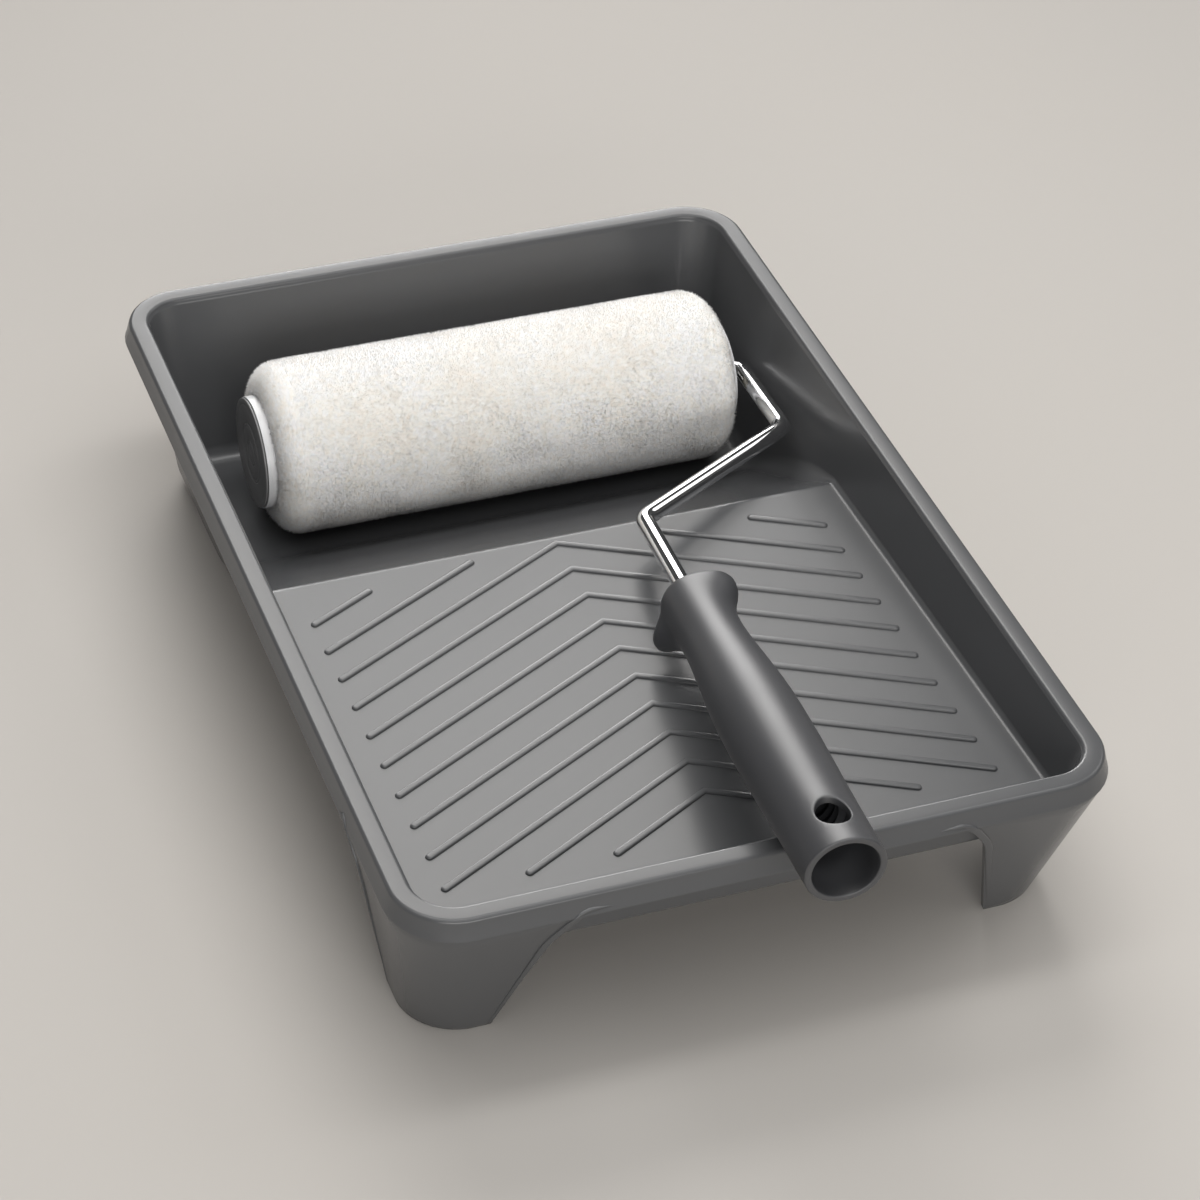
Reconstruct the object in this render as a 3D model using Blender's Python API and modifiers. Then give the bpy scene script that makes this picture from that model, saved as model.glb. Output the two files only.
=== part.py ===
"""Paint roller tray with its roller tool, built as separate pieces in metres, +Z up.

The origin is the centre of the underside of the paint well, +Y points from the shallow
end to the deep end, and the roller lies in the well with its handle on the front rim.
"""
from math import asin, atan, cos, hypot, pi, radians, sin, tan

import bmesh
import bpy
from mathutils import Matrix, Vector

MM = 0.001
GAP = 0.3 * MM                      # left between pieces that touch or fit together

# Tray moulding
TRAY_HEIGHT = 80.0 * MM
TRAY_CENTRE_Y = -147.1 * MM         # middle of the rim, measured from the well's middle
RIM_HALF_WIDTH = 143.0 * MM
RIM_HALF_LENGTH = 211.4 * MM
RIM_WIDTH = 8.4 * MM
RIM_CORNER = 25.0 * MM
RIM_PLATE = 2.5 * MM
RIM_EDGE = 1.9 * MM                 # size of the outer edge's rounding
SKIRT_DEPTH = 9.4 * MM
SKIRT_FLARE = 2.3 * MM
SKIRT_WALL = 2.4 * MM
BASIN_WALL = 2.2 * MM
BASIN_FLOOR = 2.5 * MM
WELL_HALF_WIDTH = 124.0 * MM        # inside the well, on its floor
WELL_FAR_Y = 39.8 * MM
WELL_CORNER = 12.0 * MM
NEAR_WALL_DRAFT = 0.18
FOLD_Y = -39.8 * MM                 # where the well floor turns up into the slope
CREASE_Y = -111.3 * MM              # where the slope meets the ribbed bed
CREASE_Z = 43.9 * MM
BED_FALL = 0.03                     # the bed drains towards the well

# Ribs that squeeze paint out of the sleeve
RIB_RADIUS = 1.6 * MM
RIB_HEIGHT = 1.2 * MM
RIB_PITCH = 19.0 * MM
RIB_FIRST_APEX_Y = -116.2 * MM
RIB_FULL_COUNT = 10
RIB_SHORT_STARTS = (84.0 * MM, 37.5 * MM)
RIB_HALF_SPAN = 114.4 * MM
RIB_NEAR_Y = -312.0 * MM
RIB_SLOPE = 0.5385

# Corner legs under the shallow end
LEG_TOP_HALF_WIDTH = 144.8 * MM
LEG_SOLE_HALF_WIDTH = 133.0 * MM
LEG_TOP_FRONT_Y = -360.3 * MM
LEG_SOLE_FRONT_Y = -335.3 * MM
LEG_TOP_CORNER = 26.8 * MM
LEG_SOLE_CORNER = 24.0 * MM
LEG_BACK_Y = -240.0 * MM
LEG_WALL = 2.4 * MM
LEG_TUCK = 3.9 * MM                 # how far the legs run up inside the skirt
LEG_CLEARANCE = 0.15 * MM
ARCH_SOLE_X = 102.5 * MM
ARCH_SHOULDER = (87.5 * MM, 57.0 * MM)
ARCH_CROWN = (77.0 * MM, 71.2 * MM)
SIDE_ARCH_SOLE_Y = -301.0 * MM
SIDE_ARCH_SHOULDER = (-297.0 * MM, 57.0 * MM)
SIDE_ARCH_CROWN = (-285.0 * MM, 71.2 * MM)

# Roller
PILE_RADIUS = 38.6 * MM
PILE_START_X = -100.4 * MM
PILE_END_X = 112.4 * MM
PILE_SHOULDER_LENGTH = 11.5 * MM
PILE_SHOULDER_DROP = 12.5 * MM
CORE_BORE = 25.1 * MM
CORE_WALL = 1.6 * MM
CORE_RECESS = 2.0 * MM              # how far the core stops short of the pile's ends
CAP_RADIUS = 24.7 * MM
CAP_BARREL_RADIUS = 20.6 * MM
OUTER_CAP_FACE_X = -104.6 * MM
INNER_CAP_FACE_X = 114.0 * MM
CAP_DEPTH = 16.0 * MM
OUTER_CAP_FLANGE = 7.6 * MM         # depth of each cap's rim, from its face
INNER_CAP_FLANGE = 3.2 * MM
OUTER_WEB_DEPTH = 9.0 * MM          # from the outer cap's face to the web that holds its bush
OUTER_RECESS = 14.0 * MM
INNER_DISH_DEPTH = 2.6 * MM
INNER_DISH_RADII = (12.0 * MM, 13.5 * MM)
COVER_RADIUS = 24.3 * MM
COVER_THICKNESS = 1.6 * MM
COVER_GROOVES = (13.4 * MM, 4.4 * MM)
GROOVE_HALF_WIDTH = 0.6 * MM
GROOVE_DEPTH = 0.5 * MM
BEARING_RADIUS = 8.0 * MM
BEARING_FLANGE = 10.0 * MM
BEARING_FLANGE_THICKNESS = 1.2 * MM
BEARING_TAIL = 3.0 * MM             # how far a bush runs past the back of its cap
CAGE_WIRE_COUNT = 5
CAGE_WIRE_RADIUS = 1.2 * MM
CAGE_RADIUS = 22.6 * MM             # to the middle of a cage wire, at the caps
CAGE_BOW = 0.7 * MM
SPIDER_PLACES = (-36.0 * MM, 46.0 * MM)
SPIDER_HALF_THICKNESS = 2.0 * MM
SPIDER_BORE = 6.0 * MM
SPIDER_RIM = 0.9 * MM               # past the middle of the wires
OUTER_WASHER_RADIUS = 8.5 * MM
INNER_WASHER_RADIUS = 7.6 * MM
WASHER_THICKNESS = 0.8 * MM
NUT_RADIUS = 7.0 * MM
NUT_THICKNESS = 1.6 * MM
AXLE_Y = -13.0 * MM
AXLE_Z = BASIN_FLOOR + PILE_RADIUS + GAP
AXLE = Vector((0.0, AXLE_Y, AXLE_Z))

# Frame rod and handle, laid out in the tilted plane through the roller's axis:
# x runs along the axis and t runs from the axis towards the handle's end.
ROD_RADIUS = 3.9 * MM
ROD_START_X = -95.0 * MM
ROD_CORNERS = (
    (124.1 * MM, 0.0, 8.0 * MM),
    (118.9 * MM, 64.6 * MM, 9.0 * MM),
    (32.9 * MM, 120.1 * MM, 9.0 * MM),
)
ROD_END_T = 275.0 * MM
BEARING_BORE = ROD_RADIUS + GAP
HANDLE_REF = (21.6 * MM, 240.0 * MM)
HANDLE_DRIFT = 0.0947               # sideways run of the handle's axis for each unit of t
HANDLE_RIM_T = 340.5 * MM           # where the handle lies on the front rim
HANDLE_RIM_RADIUS = 16.3 * MM
TOOL_TILT = asin((TRAY_HEIGHT + GAP + HANDLE_RIM_RADIUS / cos(radians(9.0)) - AXLE_Z)
                 / HANDLE_RIM_T)
HANDLE_END_S = 394.0 * MM
HANDLE_END_SLANT = tan(radians(12.0))
GUARD_ANGLE = radians(231.0)
GUARD_REACH = 10.6 * MM
FLARE_ANGLE = radians(18.0)
FLARE_REACH = 6.0 * MM
# distance along the axis, radius, share of the flare, share of the finger guard
HANDLE_SECTIONS = (
    (192.5 * MM, 11.8 * MM, 0.75, 0.82),
    (194.2 * MM, 13.2 * MM, 1.0, 1.0),
    (197.6 * MM, 13.2 * MM, 0.93, 0.96),
    (202.5 * MM, 13.1 * MM, 0.60, 0.66),
    (208.5 * MM, 13.0 * MM, 0.26, 0.28),
    (216.0 * MM, 12.9 * MM, 0.06, 0.05),
    (227.0 * MM, 13.0 * MM, 0.0, 0.0),
    (241.0 * MM, 13.7 * MM, 0.0, 0.0),
    (262.0 * MM, 15.3 * MM, 0.0, 0.0),
    (284.0 * MM, 16.5 * MM, 0.0, 0.0),
    (306.0 * MM, 16.7 * MM, 0.0, 0.0),
    (330.0 * MM, 16.4 * MM, 0.0, 0.0),
    (356.0 * MM, 15.9 * MM, 0.0, 0.0),
    (HANDLE_END_S, 15.6 * MM, 0.0, 0.0),
)
SOCKET_RADIUS = 12.8 * MM
SOCKET_FLOOR_S = 318.0 * MM
HANG_HOLE_S = 377.5 * MM
HANG_HOLE_WIDTH = 12.5 * MM
HANG_HOLE_LENGTH = 17.5 * MM
INSERT_START_S = 320.0 * MM
INSERT_LENGTH = 36.0 * MM
INSERT_BORE = 9.4 * MM
THREAD_DEPTH = 1.3 * MM
THREAD_PITCH = 5.08 * MM

CORNER_STEPS = 6
ROUND_STEPS = 32
PILE_STEPS = 5
GRIP_SIDES = 28
SMALL_ROUND_STEPS = 24

# Places outside the tray, where a cutter ends
BEYOND_SIDE = 0.2
BEYOND_NEAR_Y = -0.4
BELOW = -5.0 * MM


def clear_scene():
    for obj in list(bpy.data.objects):
        bpy.data.objects.remove(obj, do_unlink=True)


def make_collection(name):
    collection = bpy.data.collections.new(name)
    bpy.context.scene.collection.children.link(collection)
    return collection


def make_material(name, colour, roughness, metallic=0.0):
    material = bpy.data.materials.new(name)
    material.use_nodes = True
    shader = material.node_tree.nodes["Principled BSDF"]
    shader.inputs["Base Color"].default_value = (*colour, 1.0)
    shader.inputs["Roughness"].default_value = roughness
    shader.inputs["Metallic"].default_value = metallic
    return material


def add_object(name, data, collection, material=None):
    obj = bpy.data.objects.new(name, data)
    collection.objects.link(obj)
    if material is not None:
        data.materials.clear()
        data.materials.append(material)
    return obj


def bake(obj):
    """Turn an object with modifiers, or a curve, into a plain welded mesh object."""
    bpy.context.view_layer.update()
    evaluated = obj.evaluated_get(bpy.context.evaluated_depsgraph_get())
    mesh = bpy.data.meshes.new_from_object(evaluated)
    work = bmesh.new()
    work.from_mesh(mesh)
    bmesh.ops.remove_doubles(work, verts=work.verts, dist=0.01 * MM)
    work.to_mesh(mesh)
    work.free()
    name, place = obj.name, obj.matrix_world.copy()
    collection = obj.users_collection[0]
    bpy.data.objects.remove(obj, do_unlink=True)
    baked = bpy.data.objects.new(name, mesh)
    baked.matrix_world = place
    collection.objects.link(baked)
    return baked


def combine(target, tool, operation):
    """Join or cut target with tool, at once, and remove the tool."""
    boolean = target.modifiers.new(operation.lower(), "BOOLEAN")
    boolean.operation = operation
    boolean.object = tool
    baked = bake(target)
    bpy.data.objects.remove(tool, do_unlink=True)
    return baked


def smooth(obj, angle=35.0):
    obj.data.shade_smooth()
    obj.data.set_sharp_from_angle(angle=radians(angle))


def loft(name, rings, collection, material=None):
    """Closed solid through rings of equally many points, the first ring lowest."""
    work = bmesh.new()
    loops = [[work.verts.new(point) for point in ring] for ring in rings]
    count = len(loops[0])
    for lower, upper in zip(loops, loops[1:]):
        for i in range(count):
            j = (i + 1) % count
            work.faces.new((lower[i], lower[j], upper[j], upper[i]))
    work.faces.new(list(reversed(loops[0])))
    work.faces.new(loops[-1])
    bmesh.ops.recalc_face_normals(work, faces=work.faces)
    mesh = bpy.data.meshes.new(name)
    work.to_mesh(mesh)
    work.free()
    return add_object(name, mesh, collection, material)


def rounded_ring(half_width, near_y, far_y, radius, z):
    """Points of a rounded rectangle, anticlockwise seen from above."""
    corners = (
        (half_width - radius, far_y - radius, 0.0),
        (-half_width + radius, far_y - radius, 0.5 * pi),
        (-half_width + radius, near_y + radius, pi),
        (half_width - radius, near_y + radius, 1.5 * pi),
    )
    points = []
    for cx, cy, start in corners:
        for step in range(CORNER_STEPS + 1):
            angle = start + 0.5 * pi * step / CORNER_STEPS
            points.append(Vector((cx + radius * cos(angle), cy + radius * sin(angle), z)))
    return points


def prism(name, outline, axis, low, high, collection):
    """A flat outline extruded between two places along X or Y, as a mesh."""
    curve = bpy.data.curves.new(name, "CURVE")
    curve.dimensions = "2D"
    curve.fill_mode = "BOTH"
    curve.extrude = 0.5 * (high - low)
    spline = curve.splines.new("POLY")
    spline.points.add(len(outline) - 1)
    for point, (a, b) in zip(spline.points, outline):
        point.co = (a, b, 0.0, 1.0)
    spline.use_cyclic_u = True
    obj = add_object(name, curve, collection)
    middle = 0.5 * (low + high)
    if axis == "X":                 # the outline's axes become Y and Z
        obj.matrix_world = Matrix(((0, 0, 1, middle), (1, 0, 0, 0), (0, 1, 0, 0), (0, 0, 0, 1)))
    else:                           # the outline's axes become X and Z
        obj.matrix_world = Matrix(((1, 0, 0, 0), (0, 0, -1, middle), (0, 1, 0, 0), (0, 0, 0, 1)))
    return bake(obj)


def turned(name, profile, collection, material=None, steps=ROUND_STEPS):
    """A closed (radius, height) profile turned about Z; its outer side runs downwards."""
    mesh = bpy.data.meshes.new(name)
    points = [(radius, 0.0, height) for radius, height in profile]
    edges = [(i, (i + 1) % len(points)) for i in range(len(points))]
    if profile[0][0] == 0.0:        # a solid of revolution starts and ends on the axis
        edges.pop()
    mesh.from_pydata(points, edges, [])
    obj = add_object(name, mesh, collection, material)
    screw = obj.modifiers.new("turn", "SCREW")
    screw.steps = steps
    screw.render_steps = steps
    screw.use_merge_vertices = True
    screw.merge_threshold = 0.01 * MM
    return obj


def on_axle(obj):
    """Lay a turned piece on the roller's axis: its local Z becomes +X."""
    obj.location = AXLE
    obj.rotation_euler = (0.0, 0.5 * pi, 0.0)
    return obj


def bar(name, points, radius, resolution, collection, material=None):
    curve = bpy.data.curves.new(name, "CURVE")
    curve.dimensions = "3D"
    curve.bevel_depth = radius
    curve.bevel_resolution = resolution
    curve.use_fill_caps = True
    spline = curve.splines.new("POLY")
    spline.points.add(len(points) - 1)
    for knot, point in zip(spline.points, points):
        knot.co = (*point, 1.0)
    return add_object(name, curve, collection, material)


# ---------------------------------------------------------------- tray

def basin_half_width(z):
    top = RIM_HALF_WIDTH - RIM_WIDTH
    share = (z - BASIN_FLOOR) / (TRAY_HEIGHT - BASIN_FLOOR)
    return WELL_HALF_WIDTH + (top - WELL_HALF_WIDTH) * share


def basin_far_y(z):
    top = TRAY_CENTRE_Y + RIM_HALF_LENGTH - RIM_WIDTH
    share = (z - BASIN_FLOOR) / (TRAY_HEIGHT - BASIN_FLOOR)
    return WELL_FAR_Y + (top - WELL_FAR_Y) * share


def basin_near_y(z):
    top = TRAY_CENTRE_Y - RIM_HALF_LENGTH + RIM_WIDTH
    return top + NEAR_WALL_DRAFT * (TRAY_HEIGHT - z)


def basin_ring(z, offset):
    share = (z - BASIN_FLOOR) / (TRAY_HEIGHT - BASIN_FLOOR)
    radius = WELL_CORNER + (RIM_CORNER - RIM_WIDTH - WELL_CORNER) * share
    return rounded_ring(basin_half_width(z) + offset, basin_near_y(z) - offset,
                        basin_far_y(z) + offset, radius + offset, z)


def bed_height(y):
    return CREASE_Z + BED_FALL * (CREASE_Y - y)


def floor_line(near_y):
    """The well floor's fold, the crease and the bed's near end, as (y, z)."""
    return [(FOLD_Y, BASIN_FLOOR), (CREASE_Y, CREASE_Z), (near_y, bed_height(near_y))]


def lowered_floor_line(near_y, depth):
    """The floor line moved down its own normals by depth, as far as the underside z = 0."""
    slope = atan((CREASE_Z - BASIN_FLOOR) / (FOLD_Y - CREASE_Y))
    bed = atan(BED_FALL)
    turn = 0.5 * (slope + bed)
    reach = depth / cos(0.5 * (slope - bed))
    crease = (CREASE_Y - reach * sin(turn), CREASE_Z - reach * cos(turn))
    toe_y = crease[0] + crease[1] / tan(slope)
    end_z = crease[1] + BED_FALL * (crease[0] - near_y)
    return [(toe_y, 0.0), crease, (near_y, end_z)]


def rim_ring(offset, z):
    return rounded_ring(RIM_HALF_WIDTH + offset, TRAY_CENTRE_Y - RIM_HALF_LENGTH - offset,
                        TRAY_CENTRE_Y + RIM_HALF_LENGTH + offset, RIM_CORNER + offset, z)


def skirt_offset(z):
    return SKIRT_FLARE * (TRAY_HEIGHT - z) / SKIRT_DEPTH


def make_rim(cutters):
    skirt_z = TRAY_HEIGHT - SKIRT_DEPTH
    outside = [
        rim_ring(skirt_offset(skirt_z), skirt_z),
        rim_ring(skirt_offset(TRAY_HEIGHT - RIM_EDGE), TRAY_HEIGHT - RIM_EDGE),
        rim_ring(-0.25 * RIM_EDGE, TRAY_HEIGHT - 0.25 * RIM_EDGE),
        rim_ring(-RIM_EDGE, TRAY_HEIGHT),
    ]
    hollow_low = skirt_z - 1.0 * MM
    hollow_high = TRAY_HEIGHT - RIM_PLATE
    inside = [
        rim_ring(skirt_offset(hollow_low) - SKIRT_WALL, hollow_low),
        rim_ring(skirt_offset(hollow_high) - SKIRT_WALL, hollow_high),
    ]
    rim = loft("tray_shell", outside, cutters)
    return combine(rim, loft("rim_hollow", inside, cutters), "DIFFERENCE")


def make_basin(cutters):
    outside = loft("basin", [basin_ring(0.0, BASIN_WALL),
                             basin_ring(TRAY_HEIGHT - 0.5 * RIM_PLATE, BASIN_WALL)], cutters)
    (toe_y, _), crease, end = lowered_floor_line(BEYOND_NEAR_Y, BASIN_FLOOR)
    toe = (toe_y + (toe_y - crease[0]) * (-BELOW) / crease[1], BELOW)
    outline = [toe, crease, end, (BEYOND_NEAR_Y, BELOW)]
    under = prism("under_bed", outline, "X", -BEYOND_SIDE, BEYOND_SIDE, cutters)
    return combine(outside, under, "DIFFERENCE")


def make_cavity(cutters):
    """Everything inside the walls and above the floor, slope and bed."""
    cavity = loft("cavity", [basin_ring(BASIN_FLOOR, 0.0),
                             basin_ring(TRAY_HEIGHT + 4.0 * MM, 0.0)], cutters)
    fold, crease, end = floor_line(BEYOND_NEAR_Y)
    run = (fold[0] - crease[0]) / (crease[1] - fold[1])
    toe = (fold[0] + run * (fold[1] - BELOW), BELOW)
    outline = [toe, crease, end, (BEYOND_NEAR_Y, BELOW)]
    ground = prism("ground", outline, "X", -BEYOND_SIDE, BEYOND_SIDE, cutters)
    return combine(cavity, ground, "DIFFERENCE")


def leg_ring(z, inset):
    """The legs' outline at a height, drawn in by inset; above the skirt's edge it tucks in."""
    top = TRAY_HEIGHT - SKIRT_DEPTH
    share = min(z, top) / top
    tuck = 0.0
    if z > top:
        tuck = SKIRT_FLARE * LEG_TUCK / SKIRT_DEPTH + LEG_CLEARANCE
    half_width = LEG_SOLE_HALF_WIDTH + (LEG_TOP_HALF_WIDTH - LEG_SOLE_HALF_WIDTH) * share
    front_y = LEG_SOLE_FRONT_Y + (LEG_TOP_FRONT_Y - LEG_SOLE_FRONT_Y) * share
    corner = LEG_SOLE_CORNER + (LEG_TOP_CORNER - LEG_SOLE_CORNER) * share
    drawn_in = inset + tuck
    return rounded_ring(half_width - drawn_in, front_y + drawn_in, LEG_BACK_Y - inset,
                        corner - drawn_in, z)


def make_legs(cutters):
    top = TRAY_HEIGHT - SKIRT_DEPTH
    tuck = top + LEG_TUCK
    legs = loft("legs", [leg_ring(0.0, 0.0), leg_ring(top, 0.0), leg_ring(tuck, 0.0)], cutters)
    hollow = [leg_ring(-1.0 * MM, LEG_WALL), leg_ring(top, LEG_WALL),
              leg_ring(tuck + 1.0 * MM, LEG_WALL)]
    legs = combine(legs, loft("leg_hollow", hollow, cutters), "DIFFERENCE")
    front = [(-ARCH_SOLE_X, BELOW), (ARCH_SOLE_X, BELOW), ARCH_SHOULDER, ARCH_CROWN,
             (-ARCH_CROWN[0], ARCH_CROWN[1]), (-ARCH_SHOULDER[0], ARCH_SHOULDER[1])]
    inside_front = LEG_SOLE_FRONT_Y + 10.0 * MM
    arch = prism("front_arch", front, "Y", BEYOND_NEAR_Y, inside_front, cutters)
    legs = combine(legs, arch, "DIFFERENCE")
    high = TRAY_HEIGHT + 10.0 * MM
    back = LEG_BACK_Y + 10.0 * MM
    side = [(SIDE_ARCH_SOLE_Y, BELOW), SIDE_ARCH_SHOULDER, SIDE_ARCH_CROWN,
            (SIDE_ARCH_CROWN[0], high), (back, high), (back, BELOW)]
    side_arches = prism("side_arches", side, "X", -BEYOND_SIDE, BEYOND_SIDE, cutters)
    return combine(legs, side_arches, "DIFFERENCE")


def rib_arms():
    """Each rib as a list of (x, y) points: whole chevrons, then the short single arms."""
    ribs = []
    for index in range(RIB_FULL_COUNT):
        apex = RIB_FIRST_APEX_Y - index * RIB_PITCH
        span = min(RIB_HALF_SPAN, (apex - RIB_NEAR_Y) / RIB_SLOPE)
        end = apex - RIB_SLOPE * span
        ribs.append([(-span, end), (0.0, apex), (span, end)])
    for index, start in enumerate(RIB_SHORT_STARTS):
        apex = RIB_FIRST_APEX_Y + (len(RIB_SHORT_STARTS) - index) * RIB_PITCH
        for side in (-1.0, 1.0):
            ribs.append([(side * x, apex - RIB_SLOPE * x) for x in (start, RIB_HALF_SPAN)])
    return ribs


def make_tray(parts, cutters, material):
    tray = make_rim(cutters)
    tray = combine(tray, make_basin(cutters), "UNION")
    tray = combine(tray, make_cavity(cutters), "DIFFERENCE")
    tray = combine(tray, make_legs(cutters), "UNION")
    sink = RIB_RADIUS - RIB_HEIGHT
    for index, rib in enumerate(rib_arms()):
        points = [(x, y, bed_height(y) - sink) for x, y in rib]
        tool = bake(bar(f"rib_{index}", points, RIB_RADIUS, 1, cutters))
        tray = combine(tray, tool, "UNION")
    cutters.objects.unlink(tray)
    parts.objects.link(tray)
    tray.data.materials.clear()
    tray.data.materials.append(material)
    smooth(tray, 30.0)


# ---------------------------------------------------------------- roller

def pile_profile():
    """Outer side from the +X end down to the -X end, then back up the core's outside."""
    outer = []
    for step in range(PILE_STEPS + 1):
        angle = 0.5 * pi * step / PILE_STEPS
        outer.append((PILE_RADIUS - PILE_SHOULDER_DROP * (1 - sin(angle)),
                      PILE_END_X - PILE_SHOULDER_LENGTH * (1 - cos(angle))))
    for step in range(PILE_STEPS, -1, -1):
        angle = 0.5 * pi * step / PILE_STEPS
        outer.append((PILE_RADIUS - PILE_SHOULDER_DROP * (1 - sin(angle)),
                      PILE_START_X + PILE_SHOULDER_LENGTH * (1 - cos(angle))))
    core_outside = CORE_BORE + CORE_WALL + GAP
    inner = [
        (CORE_BORE, PILE_START_X),
        (CORE_BORE, PILE_START_X + CORE_RECESS - GAP),
        (core_outside, PILE_START_X + CORE_RECESS - GAP),
        (core_outside, PILE_END_X - CORE_RECESS + GAP),
        (CORE_BORE, PILE_END_X - CORE_RECESS + GAP),
        (CORE_BORE, PILE_END_X),
    ]
    return outer + inner


def make_sleeve(parts, plastic, pile):
    low = PILE_START_X + CORE_RECESS
    high = PILE_END_X - CORE_RECESS
    core = [(CORE_BORE + CORE_WALL, high), (CORE_BORE + CORE_WALL, low),
            (CORE_BORE, low), (CORE_BORE, high)]
    smooth(on_axle(turned("sleeve_core", core, parts, plastic)))
    smooth(on_axle(turned("sleeve_pile", pile_profile(), parts, pile)))


def make_outer_cap(parts, plastic, cover_plastic, nylon):
    """Flanged cap at the free end: its face is closed by a thin cover."""
    face = OUTER_CAP_FACE_X
    shoulder = face + OUTER_CAP_FLANGE
    back = face + CAP_DEPTH
    web = face + OUTER_WEB_DEPTH
    seat = face + COVER_THICKNESS + GAP
    cap = [
        (CAP_BARREL_RADIUS, back),
        (CAP_BARREL_RADIUS, shoulder),
        (CAP_RADIUS, shoulder),
        (CAP_RADIUS, seat + 0.4 * MM),
        (CAP_RADIUS - 0.4 * MM, seat),
        (OUTER_RECESS, seat),
        (OUTER_RECESS, web),
        (BEARING_RADIUS + GAP, web),
        (BEARING_RADIUS + GAP, back),
    ]
    smooth(on_axle(turned("outer_end_cap", cap, parts, plastic)))
    cover = [
        (0.0, face + COVER_THICKNESS),
        (COVER_RADIUS, face + COVER_THICKNESS),
        (COVER_RADIUS, face),
    ]
    for groove in COVER_GROOVES:
        cover.append((groove + GROOVE_HALF_WIDTH, face))
        cover.append((groove, face + GROOVE_DEPTH))
        cover.append((groove - GROOVE_HALF_WIDTH, face))
    cover.append((0.0, face))
    smooth(on_axle(turned("outer_cap_cover", cover, parts, cover_plastic)))
    bearing = bearing_profile(web - GAP, back + BEARING_TAIL, -1.0)
    smooth(on_axle(turned("outer_bearing", bearing, parts, nylon, SMALL_ROUND_STEPS)))


def bearing_profile(flange_face, tail, side):
    """A flanged bush whose flange lies on the side given, -1 towards -X."""
    flange = flange_face + side * BEARING_FLANGE_THICKNESS
    profile = [
        (BEARING_RADIUS, tail),
        (BEARING_RADIUS, flange_face),
        (BEARING_FLANGE, flange_face),
        (BEARING_FLANGE, flange),
        (BEARING_BORE, flange),
        (BEARING_BORE, tail),
    ]
    if side > 0:
        profile.reverse()
    return profile


def make_inner_cap(parts, plastic, nylon):
    """Cap on the side where the rod leaves, with a dished face around the bush."""
    face = INNER_CAP_FACE_X
    shoulder = face - INNER_CAP_FLANGE
    back = face - CAP_DEPTH
    dish = face - INNER_DISH_DEPTH
    dish_floor, dish_edge = INNER_DISH_RADII
    cap = [
        (BEARING_RADIUS + GAP, dish),
        (dish_floor, dish),
        (dish_edge, face),
        (CAP_RADIUS - 1.4 * MM, face),
        (CAP_RADIUS - 0.4 * MM, face - 0.4 * MM),
        (CAP_RADIUS, face - 1.4 * MM),
        (CAP_RADIUS, shoulder),
        (CAP_BARREL_RADIUS, shoulder),
        (CAP_BARREL_RADIUS, back),
        (BEARING_RADIUS + GAP, back),
    ]
    smooth(on_axle(turned("inner_end_cap", cap, parts, plastic)))
    bearing = bearing_profile(dish + GAP, back - BEARING_TAIL, 1.0)
    smooth(on_axle(turned("inner_bearing", bearing, parts, nylon, SMALL_ROUND_STEPS)))


def cage_wire_points(angle):
    """One bowed wire between the caps' flanges, at an angle about the axis."""
    low = OUTER_CAP_FACE_X + OUTER_CAP_FLANGE + GAP
    high = INNER_CAP_FACE_X - INNER_CAP_FLANGE - GAP
    count = 9
    points = []
    for step in range(count):
        share = step / (count - 1)
        reach = CAGE_RADIUS + CAGE_BOW * sin(pi * share)
        points.append(Vector((low + (high - low) * share,
                              AXLE_Y + reach * cos(angle), AXLE_Z + reach * sin(angle))))
    return points


def make_cage(parts, cutters, spring_steel, plastic):
    angles = [2 * pi * (index + 0.25) / CAGE_WIRE_COUNT for index in range(CAGE_WIRE_COUNT)]
    for index, angle in enumerate(angles):
        wire = bar(f"cage_wire_{index + 1}", cage_wire_points(angle), CAGE_WIRE_RADIUS, 2,
                   parts, spring_steel)
        smooth(bake_with_material(wire, spring_steel))
    for index, middle in enumerate(SPIDER_PLACES):
        make_spider(index + 1, middle, angles, parts, cutters, plastic)


def bake_with_material(obj, material):
    baked = bake(obj)
    baked.data.materials.clear()
    baked.data.materials.append(material)
    return baked


def make_spider(number, middle, angles, parts, cutters, plastic):
    """Notched disc that keeps the cage wires apart, clear of the rod."""
    half = SPIDER_HALF_THICKNESS
    rim = CAGE_RADIUS + SPIDER_RIM
    disc = [(rim, middle + half), (rim, middle - half),
            (SPIDER_BORE, middle - half), (SPIDER_BORE, middle + half)]
    spider = bake(on_axle(turned(f"cage_spider_{number}", disc, parts, plastic)))
    notch = CAGE_WIRE_RADIUS + GAP
    past_rim = 4.0 * MM             # the cutter runs out through the disc's edge
    for index, angle in enumerate(angles):
        reach = CAGE_RADIUS + 0.5 * CAGE_BOW + 0.5 * past_rim
        side = Vector((0.0, cos(angle), sin(angle)))
        across = Vector((0.0, -sin(angle), cos(angle)))
        middle_point = Vector((middle, AXLE_Y, AXLE_Z)) + side * reach
        bpy.ops.mesh.primitive_cube_add(size=1.0)
        cutter = bpy.context.object
        cutter.name = f"notch_{index}"
        cutter.matrix_world = Matrix((
            (4.0 * half, 0.0, 0.0, middle_point.x),
            (0.0, side.y * (past_rim + 2 * notch), across.y * 2 * notch, middle_point.y),
            (0.0, side.z * (past_rim + 2 * notch), across.z * 2 * notch, middle_point.z),
            (0.0, 0.0, 0.0, 1.0)))
        cutter.hide_render = True
        cutter.display_type = "WIRE"
        spider = combine(spider, cutter, "DIFFERENCE")
    spider.data.materials.clear()
    spider.data.materials.append(plastic)
    smooth(spider)


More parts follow.
